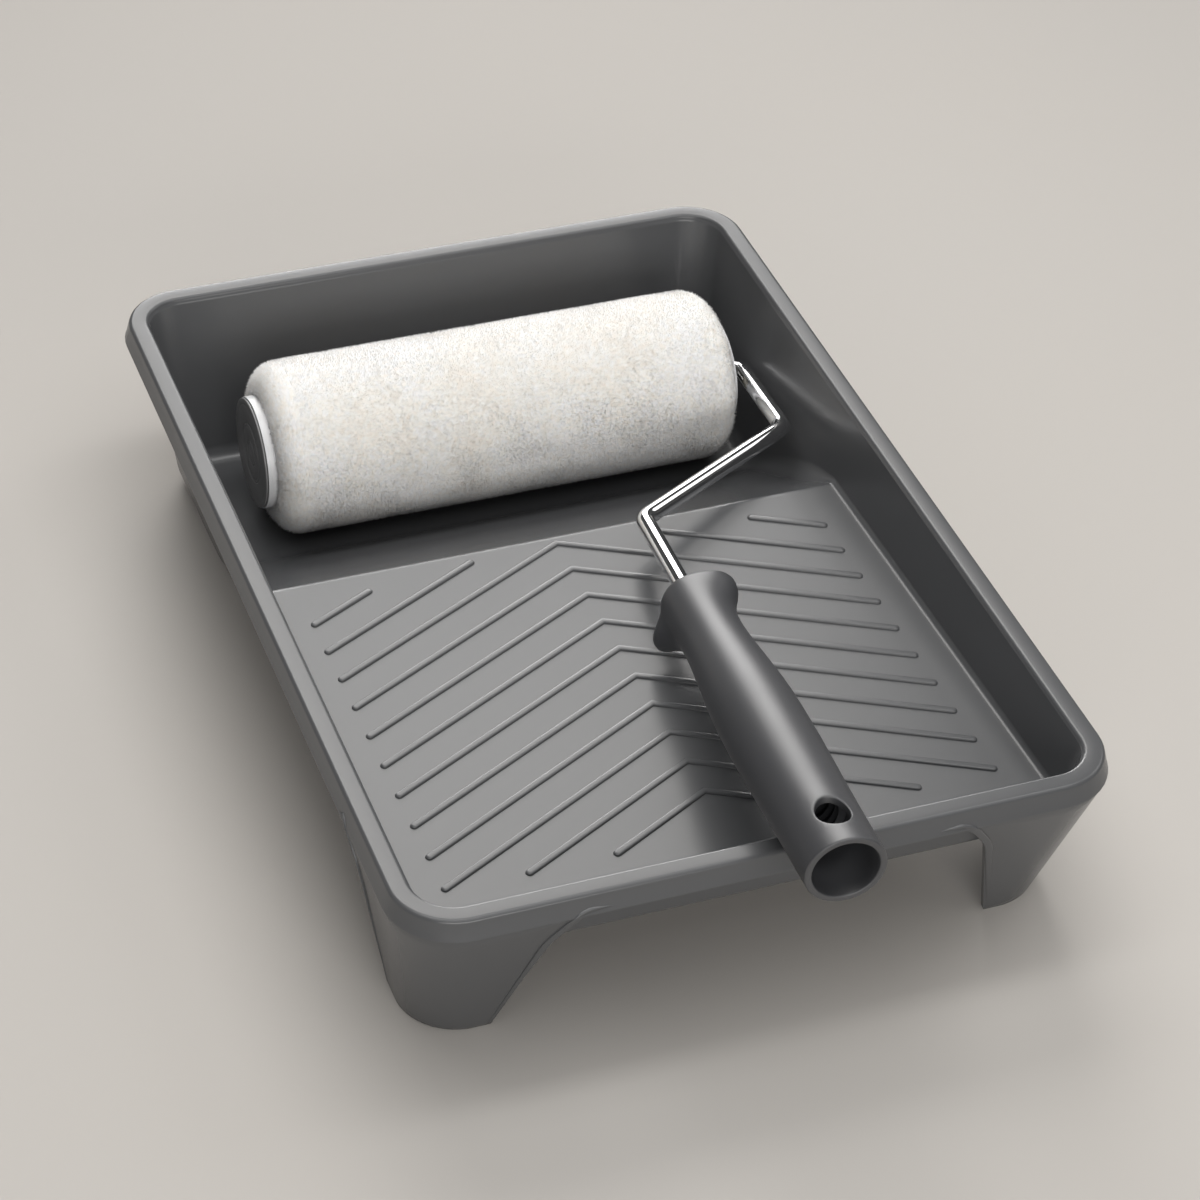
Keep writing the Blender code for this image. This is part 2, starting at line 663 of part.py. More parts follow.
def make_axle_hardware(parts, steel):
    """Loose thrust washers at both bushes, and the push-on nut that keeps the roller on."""
    outer_bush = OUTER_CAP_FACE_X + OUTER_WEB_DEPTH - GAP - BEARING_FLANGE_THICKNESS
    washer_high = outer_bush - GAP
    washer_low = washer_high - WASHER_THICKNESS
    washer = ring_profile(BEARING_BORE, OUTER_WASHER_RADIUS, washer_low, washer_high)
    smooth(on_axle(turned("outer_washer", washer, parts, steel, SMALL_ROUND_STEPS)))
    nut_high = washer_low - GAP
    nut_low = nut_high - NUT_THICKNESS
    nut = [(NUT_RADIUS, nut_high), (NUT_RADIUS, nut_low + 0.6 * MM),
           (NUT_RADIUS - NUT_THICKNESS, nut_low), (BEARING_BORE, nut_low), (BEARING_BORE, nut_high)]
    smooth(on_axle(turned("push_nut", nut, parts, steel, SMALL_ROUND_STEPS)))
    inner_bush = INNER_CAP_FACE_X - INNER_DISH_DEPTH + GAP + BEARING_FLANGE_THICKNESS
    washer_low = inner_bush + GAP
    washer_high = washer_low + WASHER_THICKNESS
    washer = ring_profile(BEARING_BORE, INNER_WASHER_RADIUS, washer_low, washer_high)
    smooth(on_axle(turned("inner_washer", washer, parts, steel, SMALL_ROUND_STEPS)))


def ring_profile(bore, radius, low, high):
    return [(radius, high), (radius, low), (bore, low), (bore, high)]


# ---------------------------------------------------------------- frame and handle

def in_plane(x, t):
    """A point of the tool's tilted plane in world coordinates."""
    return Vector((x, AXLE_Y - t * cos(TOOL_TILT), AXLE_Z + t * sin(TOOL_TILT)))


def handle_axis_x(t):
    return HANDLE_REF[0] - HANDLE_DRIFT * (t - HANDLE_REF[1])


def rounded_path(points, radii, step=radians(12.0)):
    """A polyline with its inner corners replaced by arcs of the given radii."""
    path = [points[0]]
    for before, corner, after, radius in zip(points, points[1:], points[2:], radii):
        into = (corner - before).normalized()
        out = (after - corner).normalized()
        turn = into.angle(out)
        reach = radius * tan(0.5 * turn)
        centre = corner + (out - into).normalized() * (radius / cos(0.5 * turn))
        start = corner - into * reach - centre
        axis = into.cross(out).normalized()
        count = max(2, round(turn / step))
        for index in range(count + 1):
            path.append(centre + Matrix.Rotation(turn * index / count, 3, axis) @ start)
    path.append(points[-1])
    return path


def make_rod(parts, chrome):
    corners = [in_plane(ROD_START_X, 0.0)]
    corners += [in_plane(x, t) for x, t, _ in ROD_CORNERS]
    corners.append(in_plane(handle_axis_x(ROD_END_T), ROD_END_T))
    path = rounded_path(corners, [radius for _, _, radius in ROD_CORNERS])
    rod = bar("frame_rod", path, ROD_RADIUS, 4, parts, chrome)
    smooth(bake_with_material(rod, chrome))


def handle_frame():
    """Axes of the handle: X across, Y up, Z along its axis towards its end."""
    along = (in_plane(handle_axis_x(1.0), 1.0) - in_plane(handle_axis_x(0.0), 0.0)).normalized()
    up = Vector((0.0, sin(TOOL_TILT), cos(TOOL_TILT)))
    across = up.cross(along)
    origin = in_plane(handle_axis_x(0.0), 0.0)
    matrix = Matrix((across, up, along)).transposed().to_4x4()
    matrix.translation = origin
    return matrix


def lobe(angle, centre, power):
    return max(0.0, cos(angle - centre)) ** power


def handle_ring(s, radius, flare, guard):
    ring = []
    for index in range(GRIP_SIDES):
        angle = 2 * pi * index / GRIP_SIDES
        reach = radius + flare * FLARE_REACH * lobe(angle, FLARE_ANGLE, 3)
        reach += guard * GUARD_REACH * lobe(angle, GUARD_ANGLE, 12)
        x, y = reach * cos(angle), reach * sin(angle)
        slant = HANDLE_END_SLANT * y if s == HANDLE_END_S else 0.0
        ring.append(Vector((x, y, s + slant)))
    return ring


def make_handle(parts, cutters, plastic, nylon):
    rings = [handle_ring(*section) for section in HANDLE_SECTIONS]
    handle = loft("handle_grip", rings, cutters)
    front_s = HANDLE_SECTIONS[0][0] - 5.0 * MM
    rod_hole = plug("rod_hole", BEARING_BORE, front_s, SOCKET_FLOOR_S + 1.0 * MM, cutters)
    handle = combine(handle, rod_hole, "DIFFERENCE")
    beyond = HANDLE_END_S + 20.0 * MM
    socket = plug("socket", SOCKET_RADIUS, SOCKET_FLOOR_S, beyond, cutters)
    handle = combine(handle, socket, "DIFFERENCE")
    handle = combine(handle, make_hang_hole(cutters), "DIFFERENCE")
    cutters.objects.unlink(handle)
    parts.objects.link(handle)
    handle.data.materials.clear()
    handle.data.materials.append(plastic)
    handle.matrix_world = handle_frame()
    smooth(handle)
    insert = turned("pole_thread_insert", thread_profile(), parts, nylon, SMALL_ROUND_STEPS)
    insert.matrix_world = handle_frame()
    smooth(insert)


def plug(name, radius, low, high, cutters):
    """A round cutter along the handle's own axis."""
    profile = [(0.0, high), (radius, high), (radius, low), (0.0, low)]
    return bake(turned(name, profile, cutters, None, GRIP_SIDES))


def make_hang_hole(cutters):
    """An oval prism through the handle's top into its socket, in the handle's own axes."""
    half_width = 0.5 * HANG_HOLE_WIDTH
    straight = 0.5 * (HANG_HOLE_LENGTH - HANG_HOLE_WIDTH)
    steps = 8
    outline = []
    for end, start in ((1.0, 0.0), (-1.0, pi)):
        for step in range(steps + 1):
            angle = start + pi * step / steps
            outline.append((half_width * cos(angle),
                            HANG_HOLE_S + end * straight + half_width * sin(angle)))
    return prism("hang_hole", outline, "Y", 0.0, 30.0 * MM, cutters)


def thread_profile():
    """The insert's wall, with its inside cut in ridges like the thread it carries."""
    low = INSERT_START_S
    high = low + INSERT_LENGTH
    outer = SOCKET_RADIUS - GAP
    profile = [(outer, high), (outer, low)]
    turns = int(INSERT_LENGTH / THREAD_PITCH)
    margin = 0.5 * (INSERT_LENGTH - turns * THREAD_PITCH)
    profile.append((INSERT_BORE, low))
    for turn in range(turns):
        start = low + margin + turn * THREAD_PITCH
        profile.append((INSERT_BORE, start + 0.2 * THREAD_PITCH))
        profile.append((INSERT_BORE + THREAD_DEPTH, start + 0.55 * THREAD_PITCH))
    profile.append((INSERT_BORE, high))
    return profile


def main():
    clear_scene()
    parts = make_collection("paint_roller_tray")
    cutters = make_collection("cutters")
    tray_plastic = make_material("grey_polypropylene", (0.100, 0.102, 0.106), 0.36)
    cap_plastic = make_material("cap_polypropylene", (0.280, 0.284, 0.292), 0.35)
    cover_plastic = make_material("cover_polypropylene", (0.070, 0.070, 0.072), 0.42)
    grip_plastic = make_material("grip_polypropylene", (0.076, 0.078, 0.083), 0.42)
    core_plastic = make_material("core_polypropylene", (0.62, 0.63, 0.62), 0.4)
    nylon = make_material("natural_nylon", (0.72, 0.69, 0.60), 0.4)
    insert_nylon = make_material("black_nylon", (0.030, 0.031, 0.034), 0.42)
    pile = make_material("polyester_pile", (0.88, 0.86, 0.83), 0.95)
    chrome = make_material("chromed_steel", (0.83, 0.83, 0.83), 0.07, 1.0)
    spring_steel = make_material("spring_steel", (0.48, 0.47, 0.45), 0.3, 1.0)

    make_tray(parts, cutters, tray_plastic)
    make_sleeve(parts, core_plastic, pile)
    make_outer_cap(parts, cap_plastic, cover_plastic, nylon)
    make_inner_cap(parts, cap_plastic, nylon)
    make_cage(parts, cutters, spring_steel, core_plastic)
    make_axle_hardware(parts, spring_steel)
    make_rod(parts, chrome)
    make_handle(parts, cutters, grip_plastic, insert_nylon)


main()
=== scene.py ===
"""Paint roller tray with its roller tool: the finished look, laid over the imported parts.

Everything is in metres. The origin is the middle of the underside of the paint well, +Y
points to the deep end, +X to the side where the rod leaves the roller, and +Z is up.
"""

from math import asin, atan, cos, hypot, pi, radians, sin, sqrt, tan

import bmesh
import bpy
import numpy as np
from mathutils import Matrix, Vector, noise


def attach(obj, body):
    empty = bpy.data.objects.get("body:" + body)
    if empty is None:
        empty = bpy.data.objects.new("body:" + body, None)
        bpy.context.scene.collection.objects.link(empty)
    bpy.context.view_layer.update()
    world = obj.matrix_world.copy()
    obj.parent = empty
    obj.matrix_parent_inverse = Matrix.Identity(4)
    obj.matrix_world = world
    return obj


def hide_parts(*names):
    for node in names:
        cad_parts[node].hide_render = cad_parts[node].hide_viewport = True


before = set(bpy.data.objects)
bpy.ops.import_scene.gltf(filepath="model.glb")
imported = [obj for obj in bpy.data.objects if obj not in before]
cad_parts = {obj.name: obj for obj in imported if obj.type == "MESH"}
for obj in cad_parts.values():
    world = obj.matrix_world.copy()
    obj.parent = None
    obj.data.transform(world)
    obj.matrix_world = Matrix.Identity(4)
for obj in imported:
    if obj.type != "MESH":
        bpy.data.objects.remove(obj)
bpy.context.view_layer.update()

bl_info = {
    "name": "Paint Roller Tray",
    "version": (1, 0, 0),
    "blender": (4, 5, 0),
    "location": "View3D > Sidebar > Roller Tray",
    "description": "Builds a paint tray with its roller and frame, piece by piece",
    "category": "Object",
}

MM = 0.001

# The tray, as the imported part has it
TRAY_HEIGHT = 80.0 * MM
TRAY_CENTRE_Y = -147.1 * MM
RIM_HALF_WIDTH = 143.0 * MM
RIM_HALF_LENGTH = 211.4 * MM
RIM_WIDTH = 8.4 * MM
RIM_CORNER = 25.0 * MM
RIM_PLATE = 2.5 * MM
SKIRT_DEPTH = 9.4 * MM
SKIRT_FLARE = 2.3 * MM
SKIRT_WALL = 2.4 * MM
BASIN_WALL = 2.2 * MM
BASIN_FLOOR = 2.5 * MM
WELL_HALF_WIDTH = 124.0 * MM
WELL_FAR_Y = 39.8 * MM
WELL_CORNER = 12.0 * MM
NEAR_WALL_DRAFT = 0.18
FOLD_Y = -39.8 * MM
CREASE_Y = -111.3 * MM
CREASE_Z = 43.9 * MM
BED_FALL = 0.03

RIB_PITCH = 19.0 * MM
RIB_FIRST_APEX_Y = -116.2 * MM
RIB_FULL_COUNT = 10
RIB_SHORT_STARTS = (84.0 * MM, 37.5 * MM)
RIB_HALF_SPAN = 114.4 * MM
RIB_NEAR_Y = -312.0 * MM
RIB_SLOPE = 0.5385

LEG_TOP_HALF_WIDTH = 144.8 * MM
LEG_SOLE_HALF_WIDTH = 133.0 * MM
LEG_TOP_FRONT_Y = -360.3 * MM
LEG_SOLE_FRONT_Y = -335.3 * MM
LEG_TOP_CORNER = 26.8 * MM
LEG_SOLE_CORNER = 24.0 * MM
LEG_WALL = 2.4 * MM
LEG_TUCK = 3.9 * MM
LEG_BACK_Y = -285.0 * MM
ARCH_SOLE_X = 102.5 * MM
ARCH_SHOULDER = (87.5 * MM, 57.0 * MM)
ARCH_CROWN = (77.0 * MM, 71.2 * MM)
SIDE_ARCH_SOLE_Y = -301.0 * MM
SIDE_ARCH_SHOULDER = (-297.0 * MM, 57.0 * MM)
SIDE_ARCH_CROWN = (-285.0 * MM, 71.2 * MM)
SIDE_LEAN = 0.167

# The roller
PILE_RADIUS = 38.6 * MM
PILE_START_X = -100.4 * MM
PILE_END_X = 112.4 * MM
PILE_SHOULDER_LENGTH = 11.5 * MM
PILE_SHOULDER_DROP = 12.5 * MM
PILE_NAP = 0.15 * MM
CORE_BORE = 25.1 * MM
CAP_RADIUS = 24.7 * MM
CAP_BARREL_RADIUS = 20.6 * MM
OUTER_CAP_FACE_X = -104.6 * MM
INNER_CAP_FACE_X = 114.0 * MM
CAP_DEPTH = 16.0 * MM
COVER_RADIUS = 24.3 * MM
AXLE = Vector((0.0, -13.0 * MM, BASIN_FLOOR + PILE_RADIUS + 0.3 * MM))

# The frame and its handle, in the tilted plane through the roller's axis
ROD_RADIUS = 3.9 * MM
ROD_START_X = -95.0 * MM
ROD_CORNERS = (
    (124.1 * MM, 0.0, 8.0 * MM),
    (118.9 * MM, 64.6 * MM, 9.0 * MM),
    (32.9 * MM, 120.1 * MM, 9.0 * MM),
)
ROD_END_T = 275.0 * MM
HANDLE_REF = (21.6 * MM, 240.0 * MM)
HANDLE_DRIFT = 0.0947
HANDLE_RIM_T = 340.5 * MM
HANDLE_RIM_RADIUS = 16.3 * MM
TOOL_TILT = asin((TRAY_HEIGHT + 0.3 * MM + HANDLE_RIM_RADIUS / cos(radians(9.0)) - AXLE.z)
                 / HANDLE_RIM_T)
HANDLE_END_S = 394.0 * MM
HANDLE_END_SLANT = tan(radians(12.0))
GUARD_ANGLE = radians(231.0)
GUARD_REACH = 10.6 * MM
FLARE_ANGLE = radians(18.0)
FLARE_REACH = 6.0 * MM
# distance along the axis, radius, share of the flare, share of the finger guard
HANDLE_SECTIONS = (
    (192.5 * MM, 11.8 * MM, 0.75, 0.82),
    (194.2 * MM, 13.2 * MM, 1.0, 1.0),
    (197.6 * MM, 13.2 * MM, 0.93, 0.96),
    (202.5 * MM, 13.1 * MM, 0.60, 0.66),
    (208.5 * MM, 13.0 * MM, 0.26, 0.28),
    (216.0 * MM, 12.9 * MM, 0.06, 0.05),
    (227.0 * MM, 13.0 * MM, 0.0, 0.0),
    (241.0 * MM, 13.7 * MM, 0.0, 0.0),
    (262.0 * MM, 15.3 * MM, 0.0, 0.0),
    (284.0 * MM, 16.5 * MM, 0.0, 0.0),
    (306.0 * MM, 16.7 * MM, 0.0, 0.0),
    (330.0 * MM, 16.4 * MM, 0.0, 0.0),
    (356.0 * MM, 15.9 * MM, 0.0, 0.0),
    (HANDLE_END_S, 15.6 * MM, 0.0, 0.0),
)
SOCKET_RADIUS = 12.8 * MM
SOCKET_FLOOR_S = 318.0 * MM
HANG_HOLE_S = 377.5 * MM
HANG_HOLE_WIDTH = 12.5 * MM
HANG_HOLE_LENGTH = 17.5 * MM

# The view
VIEW_TARGET = Vector((0.0059, -0.1540, 0.0409))
VIEW_DISTANCE = 1.5169
VIEW_AZIMUTH = radians(-21.738)
VIEW_ELEVATION = radians(38.590)
VIEW_ROLL = radians(2.757)
VIEW_LENS = 109.39


# ---------------------------------------------------------------- small tools

def srgb(code):
    """A hex colour as linear red, green, blue and alpha."""
    channels = [int(code[i:i + 2], 16) / 255 for i in (0, 2, 4)]
    linear = [c / 12.92 if c <= 0.04045 else ((c + 0.055) / 1.055) ** 2.4 for c in channels]
    return (*linear, 1.0)


def node(tree, kind, inputs=None, **settings):
    """Add a node to a tree with its settings, and give its inputs values or links."""
    added = tree.nodes.new(kind)
    for name, value in settings.items():
        setattr(added, name, value)
    for key, value in (inputs or {}).items():
        if isinstance(value, bpy.types.NodeSocket):
            tree.links.new(value, added.inputs[key])
        else:
            added.inputs[key].default_value = value
    return added


def mesh_object(name, vertices, faces, material):
    """A smooth-shaded object with one material, in the scene."""
    mesh = bpy.data.meshes.new(name)
    mesh.from_pydata([tuple(map(float, v)) for v in vertices], [], faces)
    mesh.validate()
    mesh.shade_smooth()
    obj = bpy.data.objects.new(name, mesh)
    bpy.context.scene.collection.objects.link(obj)
    mesh.materials.append(material)
    return obj


def as_plain_mesh(obj):
    """Put the result of an object's modifiers in its mesh, and drop the modifiers."""
    bpy.context.view_layer.update()
    evaluated = obj.evaluated_get(bpy.context.evaluated_depsgraph_get())
    mesh = bpy.data.meshes.new_from_object(evaluated)
    obj.modifiers.clear()
    old = obj.data
    obj.data = mesh
    bpy.data.meshes.remove(old)
    mesh.name = obj.name
    return obj


def finish_piece(obj, body, replaced=()):
    """Let a piece ride on its body, and let it stand for CAD nodes."""
    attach(obj, body)
    if replaced:
        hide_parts(*replaced)
    return obj


def grid_faces(rows, columns, start=0, closed=False):
    """Quads over rows of equally many points; a closed row joins its last point to its first."""
    faces = []
    for r in range(rows - 1):
        for c in range(columns if closed else columns - 1):
            d = (c + 1) % columns
            faces.append((start + r * columns + c, start + r * columns + d,
                          start + (r + 1) * columns + d, start + (r + 1) * columns + c))
    return faces


def recalculate_normals(obj):
    """Join points that lie on each other, and turn every face outwards."""
    work = bmesh.new()
    work.from_mesh(obj.data)
    bmesh.ops.remove_doubles(work, verts=work.verts, dist=0.002 * MM)
    bmesh.ops.recalc_face_normals(work, faces=work.faces)
    work.to_mesh(obj.data)
    work.free()


def arc(centre, radius, start, end, steps):
    """Points (a, b) of an arc, in degrees."""
    points = []
    for i in range(steps + 1):
        angle = radians(start + (end - start) * i / steps)
        points.append((centre[0] + radius * cos(angle), centre[1] + radius * sin(angle)))
    return points


def rounded_line(points, radii, steps=8):
    """A polyline whose inner corners become arcs of the given radii."""
    path = [points[0]]
    for before, corner, after, radius in zip(points, points[1:], points[2:], radii):
        into = (corner - before).normalized()
        out = (after - corner).normalized()
        turn = into.angle(out)
        centre = corner + (out - into).normalized() * (radius / cos(0.5 * turn))
        start = corner - into * (radius * tan(0.5 * turn)) - centre
        axis = into.cross(out).normalized()
        for i in range(steps + 1):
            path.append(centre + Matrix.Rotation(turn * i / steps, 3, axis) @ start)
    path.append(points[-1])
    return path


# ---------------------------------------------------------------- materials

def new_material(name):
    """A material with its node tree and its shader."""
    material = bpy.data.materials.new(name)
    material.use_nodes = True
    return material, material.node_tree, material.node_tree.nodes["Principled BSDF"]


def moulded_plastic(name, colour, roughness, grain_mm, grain_depth_mm, mottle=0.06, specular=0.5):
    """Injection-moulded polypropylene: an even, slightly waxy sheen, broken by the fine
    spark-eroded grain of the mould and by faint flow and handling marks."""
    material, tree, shader = new_material(name)
    place = node(tree, "ShaderNodeTexCoord").outputs["Object"]
    flow = node(tree, "ShaderNodeTexNoise", {"Vector": place, "Scale": 14.0, "Detail": 3.0})
    light = tuple(min(1.0, c * (1 + mottle)) for c in colour[:3])
    dark = tuple(c * (1 - mottle) for c in colour[:3])
    tone = node(tree, "ShaderNodeMix", {"Factor": flow.outputs["Fac"], "A": (*dark, 1.0),
                                        "B": (*light, 1.0)}, data_type="RGBA")
    tree.links.new(tone.outputs["Result"], shader.inputs["Base Color"])
    scuff = node(tree, "ShaderNodeTexNoise", {"Vector": place, "Scale": 60.0, "Detail": 4.0,
                                              "Roughness": 0.65})
    rough = node(tree, "ShaderNodeMapRange", {"Value": scuff.outputs["Fac"], "From Min": 0.3,
                                              "From Max": 0.7, "To Min": roughness - 0.012,
                                              "To Max": roughness + 0.012})
    tree.links.new(rough.outputs["Result"], shader.inputs["Roughness"])
    grain = node(tree, "ShaderNodeTexNoise", {"Vector": place, "Scale": 1 / (grain_mm * MM),
                                              "Detail": 2.0})
    bump = node(tree, "ShaderNodeBump", {"Height": grain.outputs["Fac"], "Strength": 1.0,
                                         "Distance": grain_depth_mm * MM})
    tree.links.new(bump.outputs["Normal"], shader.inputs["Normal"])
    shader.inputs["IOR"].default_value = 1.49
    shader.inputs["Specular IOR Level"].default_value = specular
    return material


def knitted_pile(name, colour, shade):
    """Knitted polyester pile: soft white fibres, matt along their sides, with a faint sheen
    at the tips and a warmer tone mixed in over random clumpy patches."""
    material, tree, shader = new_material(name)
    place = node(tree, "ShaderNodeTexCoord").outputs["Object"]
    patch = node(tree, "ShaderNodeTexNoise", {"Vector": place, "Scale": 20.0, "Detail": 3.0,
                                              "Roughness": 0.6})
    tuft = node(tree, "ShaderNodeTexNoise", {"Vector": place, "Scale": 420.0, "Detail": 2.0})
    both = node(tree, "ShaderNodeMath", {0: patch.outputs["Fac"], 1: tuft.outputs["Fac"]},
                operation="MULTIPLY")
    spread = node(tree, "ShaderNodeMapRange", {"Value": both.outputs["Value"], "From Min": 0.14,
                                               "From Max": 0.36})
    tone = node(tree, "ShaderNodeMix", {"Factor": spread.outputs["Result"], "A": shade,
                                        "B": colour}, data_type="RGBA")
    tree.links.new(tone.outputs["Result"], shader.inputs["Base Color"])
    shader.inputs["Roughness"].default_value = 0.95
    shader.inputs["Specular IOR Level"].default_value = 0.15
    shader.inputs["Subsurface Weight"].default_value = 0.85
    shader.inputs["Subsurface Radius"].default_value = (1.0, 0.95, 0.9)
    shader.inputs["Subsurface Scale"].default_value = 4.0 * MM
    shader.inputs["Sheen Weight"].default_value = 0.2
    shader.inputs["Sheen Roughness"].default_value = 0.5
    return material


def bright_metal(name, colour, roughness, wear):
    """Plated or drawn steel: a mirror with faint lengthwise polishing lines that spread
    its highlights a little."""
    material, tree, shader = new_material(name)
    shader.inputs["Base Color"].default_value = colour
    shader.inputs["Metallic"].default_value = 1.0
    place = node(tree, "ShaderNodeTexCoord").outputs["Object"]
    lines = node(tree, "ShaderNodeTexNoise", {"Vector": place, "Scale": 900.0, "Detail": 2.0})
    rough = node(tree, "ShaderNodeMapRange", {"Value": lines.outputs["Fac"],
                                              "To Min": roughness, "To Max": roughness + wear})
    tree.links.new(rough.outputs["Result"], shader.inputs["Roughness"])
    return material


# ---------------------------------------------------------------- shapes of the tray

END_STATIONS = [x * MM for x in np.linspace(-106.0, 106.0, 37)]
CORNER_STEPS = 12
# the floor lines run past the basin at both ends, so that every wall line meets them
FLOOR_LINE_FAR_Y = 0.2
FLOOR_LINE_NEAR_Y = -0.4
# where the bed's narrow fillet gives way to the slope's wide one, and that to the well's
BED_FILLET_ENDS_Y = -0.094


def side_stations():
    """Places along the long sides, close together where the floor bends."""
    coarse = list(np.arange(-326.0, 25.0, 7.0))
    fine = list(np.arange(-58.0, -22.0, 1.5)) + list(np.arange(-118.0, -104.0, 0.7))
    kept = [y for y in coarse if not (-60.5 < y < -20.5 or -120.0 < y < -102.0)]
    return [y * MM for y in sorted(kept + fine)]


SIDE_STATIONS = side_stations()


def perimeter(half_width, near_y, far_y, radius, z):
    """A rounded rectangle from the near end of the right side, anticlockwise from above."""
    points = [(half_width, near_y + radius)]
    points += [(half_width, y) for y in SIDE_STATIONS]
    points += arc((half_width - radius, far_y - radius), radius, 0, 90, CORNER_STEPS)
    points += [(x, far_y) for x in reversed(END_STATIONS)]
    points += arc((radius - half_width, far_y - radius), radius, 90, 180, CORNER_STEPS)
    points += [(-half_width, y) for y in reversed(SIDE_STATIONS)]
    points += arc((radius - half_width, near_y + radius), radius, 180, 270, CORNER_STEPS)
    points += [(x, near_y) for x in END_STATIONS]
    points += arc((half_width - radius, near_y + radius), radius, 270, 360, CORNER_STEPS)[:-1]
    return np.array([(x, y, z) for x, y in points])


def rim_loop(offset, z):
    """The rim's outer edge at a height, moved outwards by offset."""
    return perimeter(RIM_HALF_WIDTH + offset, TRAY_CENTRE_Y - RIM_HALF_LENGTH - offset,
                     TRAY_CENTRE_Y + RIM_HALF_LENGTH + offset, RIM_CORNER + offset, z)


def wall_loop(z, offset):
    """The basin's wall at a height, moved outwards by offset."""
    share = (z - BASIN_FLOOR) / (TRAY_HEIGHT - BASIN_FLOOR)
    top_half = RIM_HALF_WIDTH - RIM_WIDTH
    top_far = TRAY_CENTRE_Y + RIM_HALF_LENGTH - RIM_WIDTH
    near = TRAY_CENTRE_Y - RIM_HALF_LENGTH + RIM_WIDTH + NEAR_WALL_DRAFT * (TRAY_HEIGHT - z)
    radius = WELL_CORNER + (RIM_CORNER - RIM_WIDTH - WELL_CORNER) * share
    return perimeter(WELL_HALF_WIDTH + (top_half - WELL_HALF_WIDTH) * share + offset,
                     near - offset, WELL_FAR_Y + (top_far - WELL_FAR_Y) * share + offset,
                     radius + offset, z)


def floor_profile(fold, crease, end, fold_radius, crease_radius):
    """Heights of a floor line with its two bends rounded, as arrays of y and z."""
    start = Vector((0.0, FLOOR_LINE_FAR_Y, fold[1]))
    line = [start] + [Vector((0.0, y, z)) for y, z in (fold, crease, end)]
    path = rounded_line(line, (fold_radius, crease_radius), 14)
    path.sort(key=lambda p: p.y)
    return np.array([p.y for p in path]), np.array([p.z for p in path])


def upper_floor(fold_radius, crease_radius):
    """The floor line seen from above: the well's floor, the slope and the bed."""
    end = (FLOOR_LINE_NEAR_Y, CREASE_Z + BED_FALL * (CREASE_Y - FLOOR_LINE_NEAR_Y))
    return floor_profile((FOLD_Y, BASIN_FLOOR), (CREASE_Y, CREASE_Z), end,
                         fold_radius, crease_radius)


def lower_floor(fold_radius, crease_radius):
    """The same line moved down by the floor's thickness, as far as the underside."""
    slope = atan((CREASE_Z - BASIN_FLOOR) / (FOLD_Y - CREASE_Y))
    bed = atan(BED_FALL)
    turn = 0.5 * (slope + bed)
    reach = BASIN_FLOOR / cos(0.5 * (slope - bed))
    crease = (CREASE_Y - reach * sin(turn), CREASE_Z - reach * cos(turn))
    toe = (crease[0] + crease[1] / tan(slope), 0.0)
    end = (FLOOR_LINE_NEAR_Y, crease[1] + BED_FALL * (crease[0] - FLOOR_LINE_NEAR_Y))
    return floor_profile(toe, crease, end, fold_radius, crease_radius)


def basin_sheet(offset, top_z, profile, fillet):
    """One face of the basin: loops down the wall and round the fillet, then the floor.

    fillet(y) is the fillet's radius where the floor's edge has that y."""
    ys, zs = profile
    top = wall_loop(top_z, offset)
    bottom = wall_loop(0.0, offset)
    low, high = np.zeros(len(top)), np.ones(len(top))
    for _ in range(40):             # where each wall line meets the floor
        share = 0.5 * (low + high)
        point = bottom + (top - bottom) * share[:, None]
        below = point[:, 2] < np.interp(point[:, 1], ys, zs)
        low = np.where(below, share, low)
        high = np.where(below, high, share)
    foot = bottom + (top - bottom) * share[:, None]
    wall = (top - foot) / np.linalg.norm(top - foot, axis=1)[:, None]
    ahead = np.roll(foot, -1, axis=0) - np.roll(foot, 1, axis=0)
    ahead[:, 2] = 0.0
    inward = np.stack((-ahead[:, 1], ahead[:, 0], np.zeros(len(foot))), axis=1)
    inward /= np.linalg.norm(inward, axis=1)[:, None]
    radius = np.array([fillet(y) for y in foot[:, 1]])[:, None]
    upper = foot + wall * radius
    edge = foot + inward * radius
    edge[:, 2] = np.interp(edge[:, 1], ys, zs)
    loops = [top + (upper - top) * s for s in (0.0, 0.02, 0.12, 0.35, 0.7)]
    weight = 0.72                   # of the corner, for an almost circular fillet
    steps = 9
    for i in range(steps + 1):
        t = i / steps
        a, b, c = (1 - t) ** 2, 2 * t * (1 - t) * weight, t * t
        loops.append((upper * a + foot * b + edge * c) / (a + b + c))
    return loops


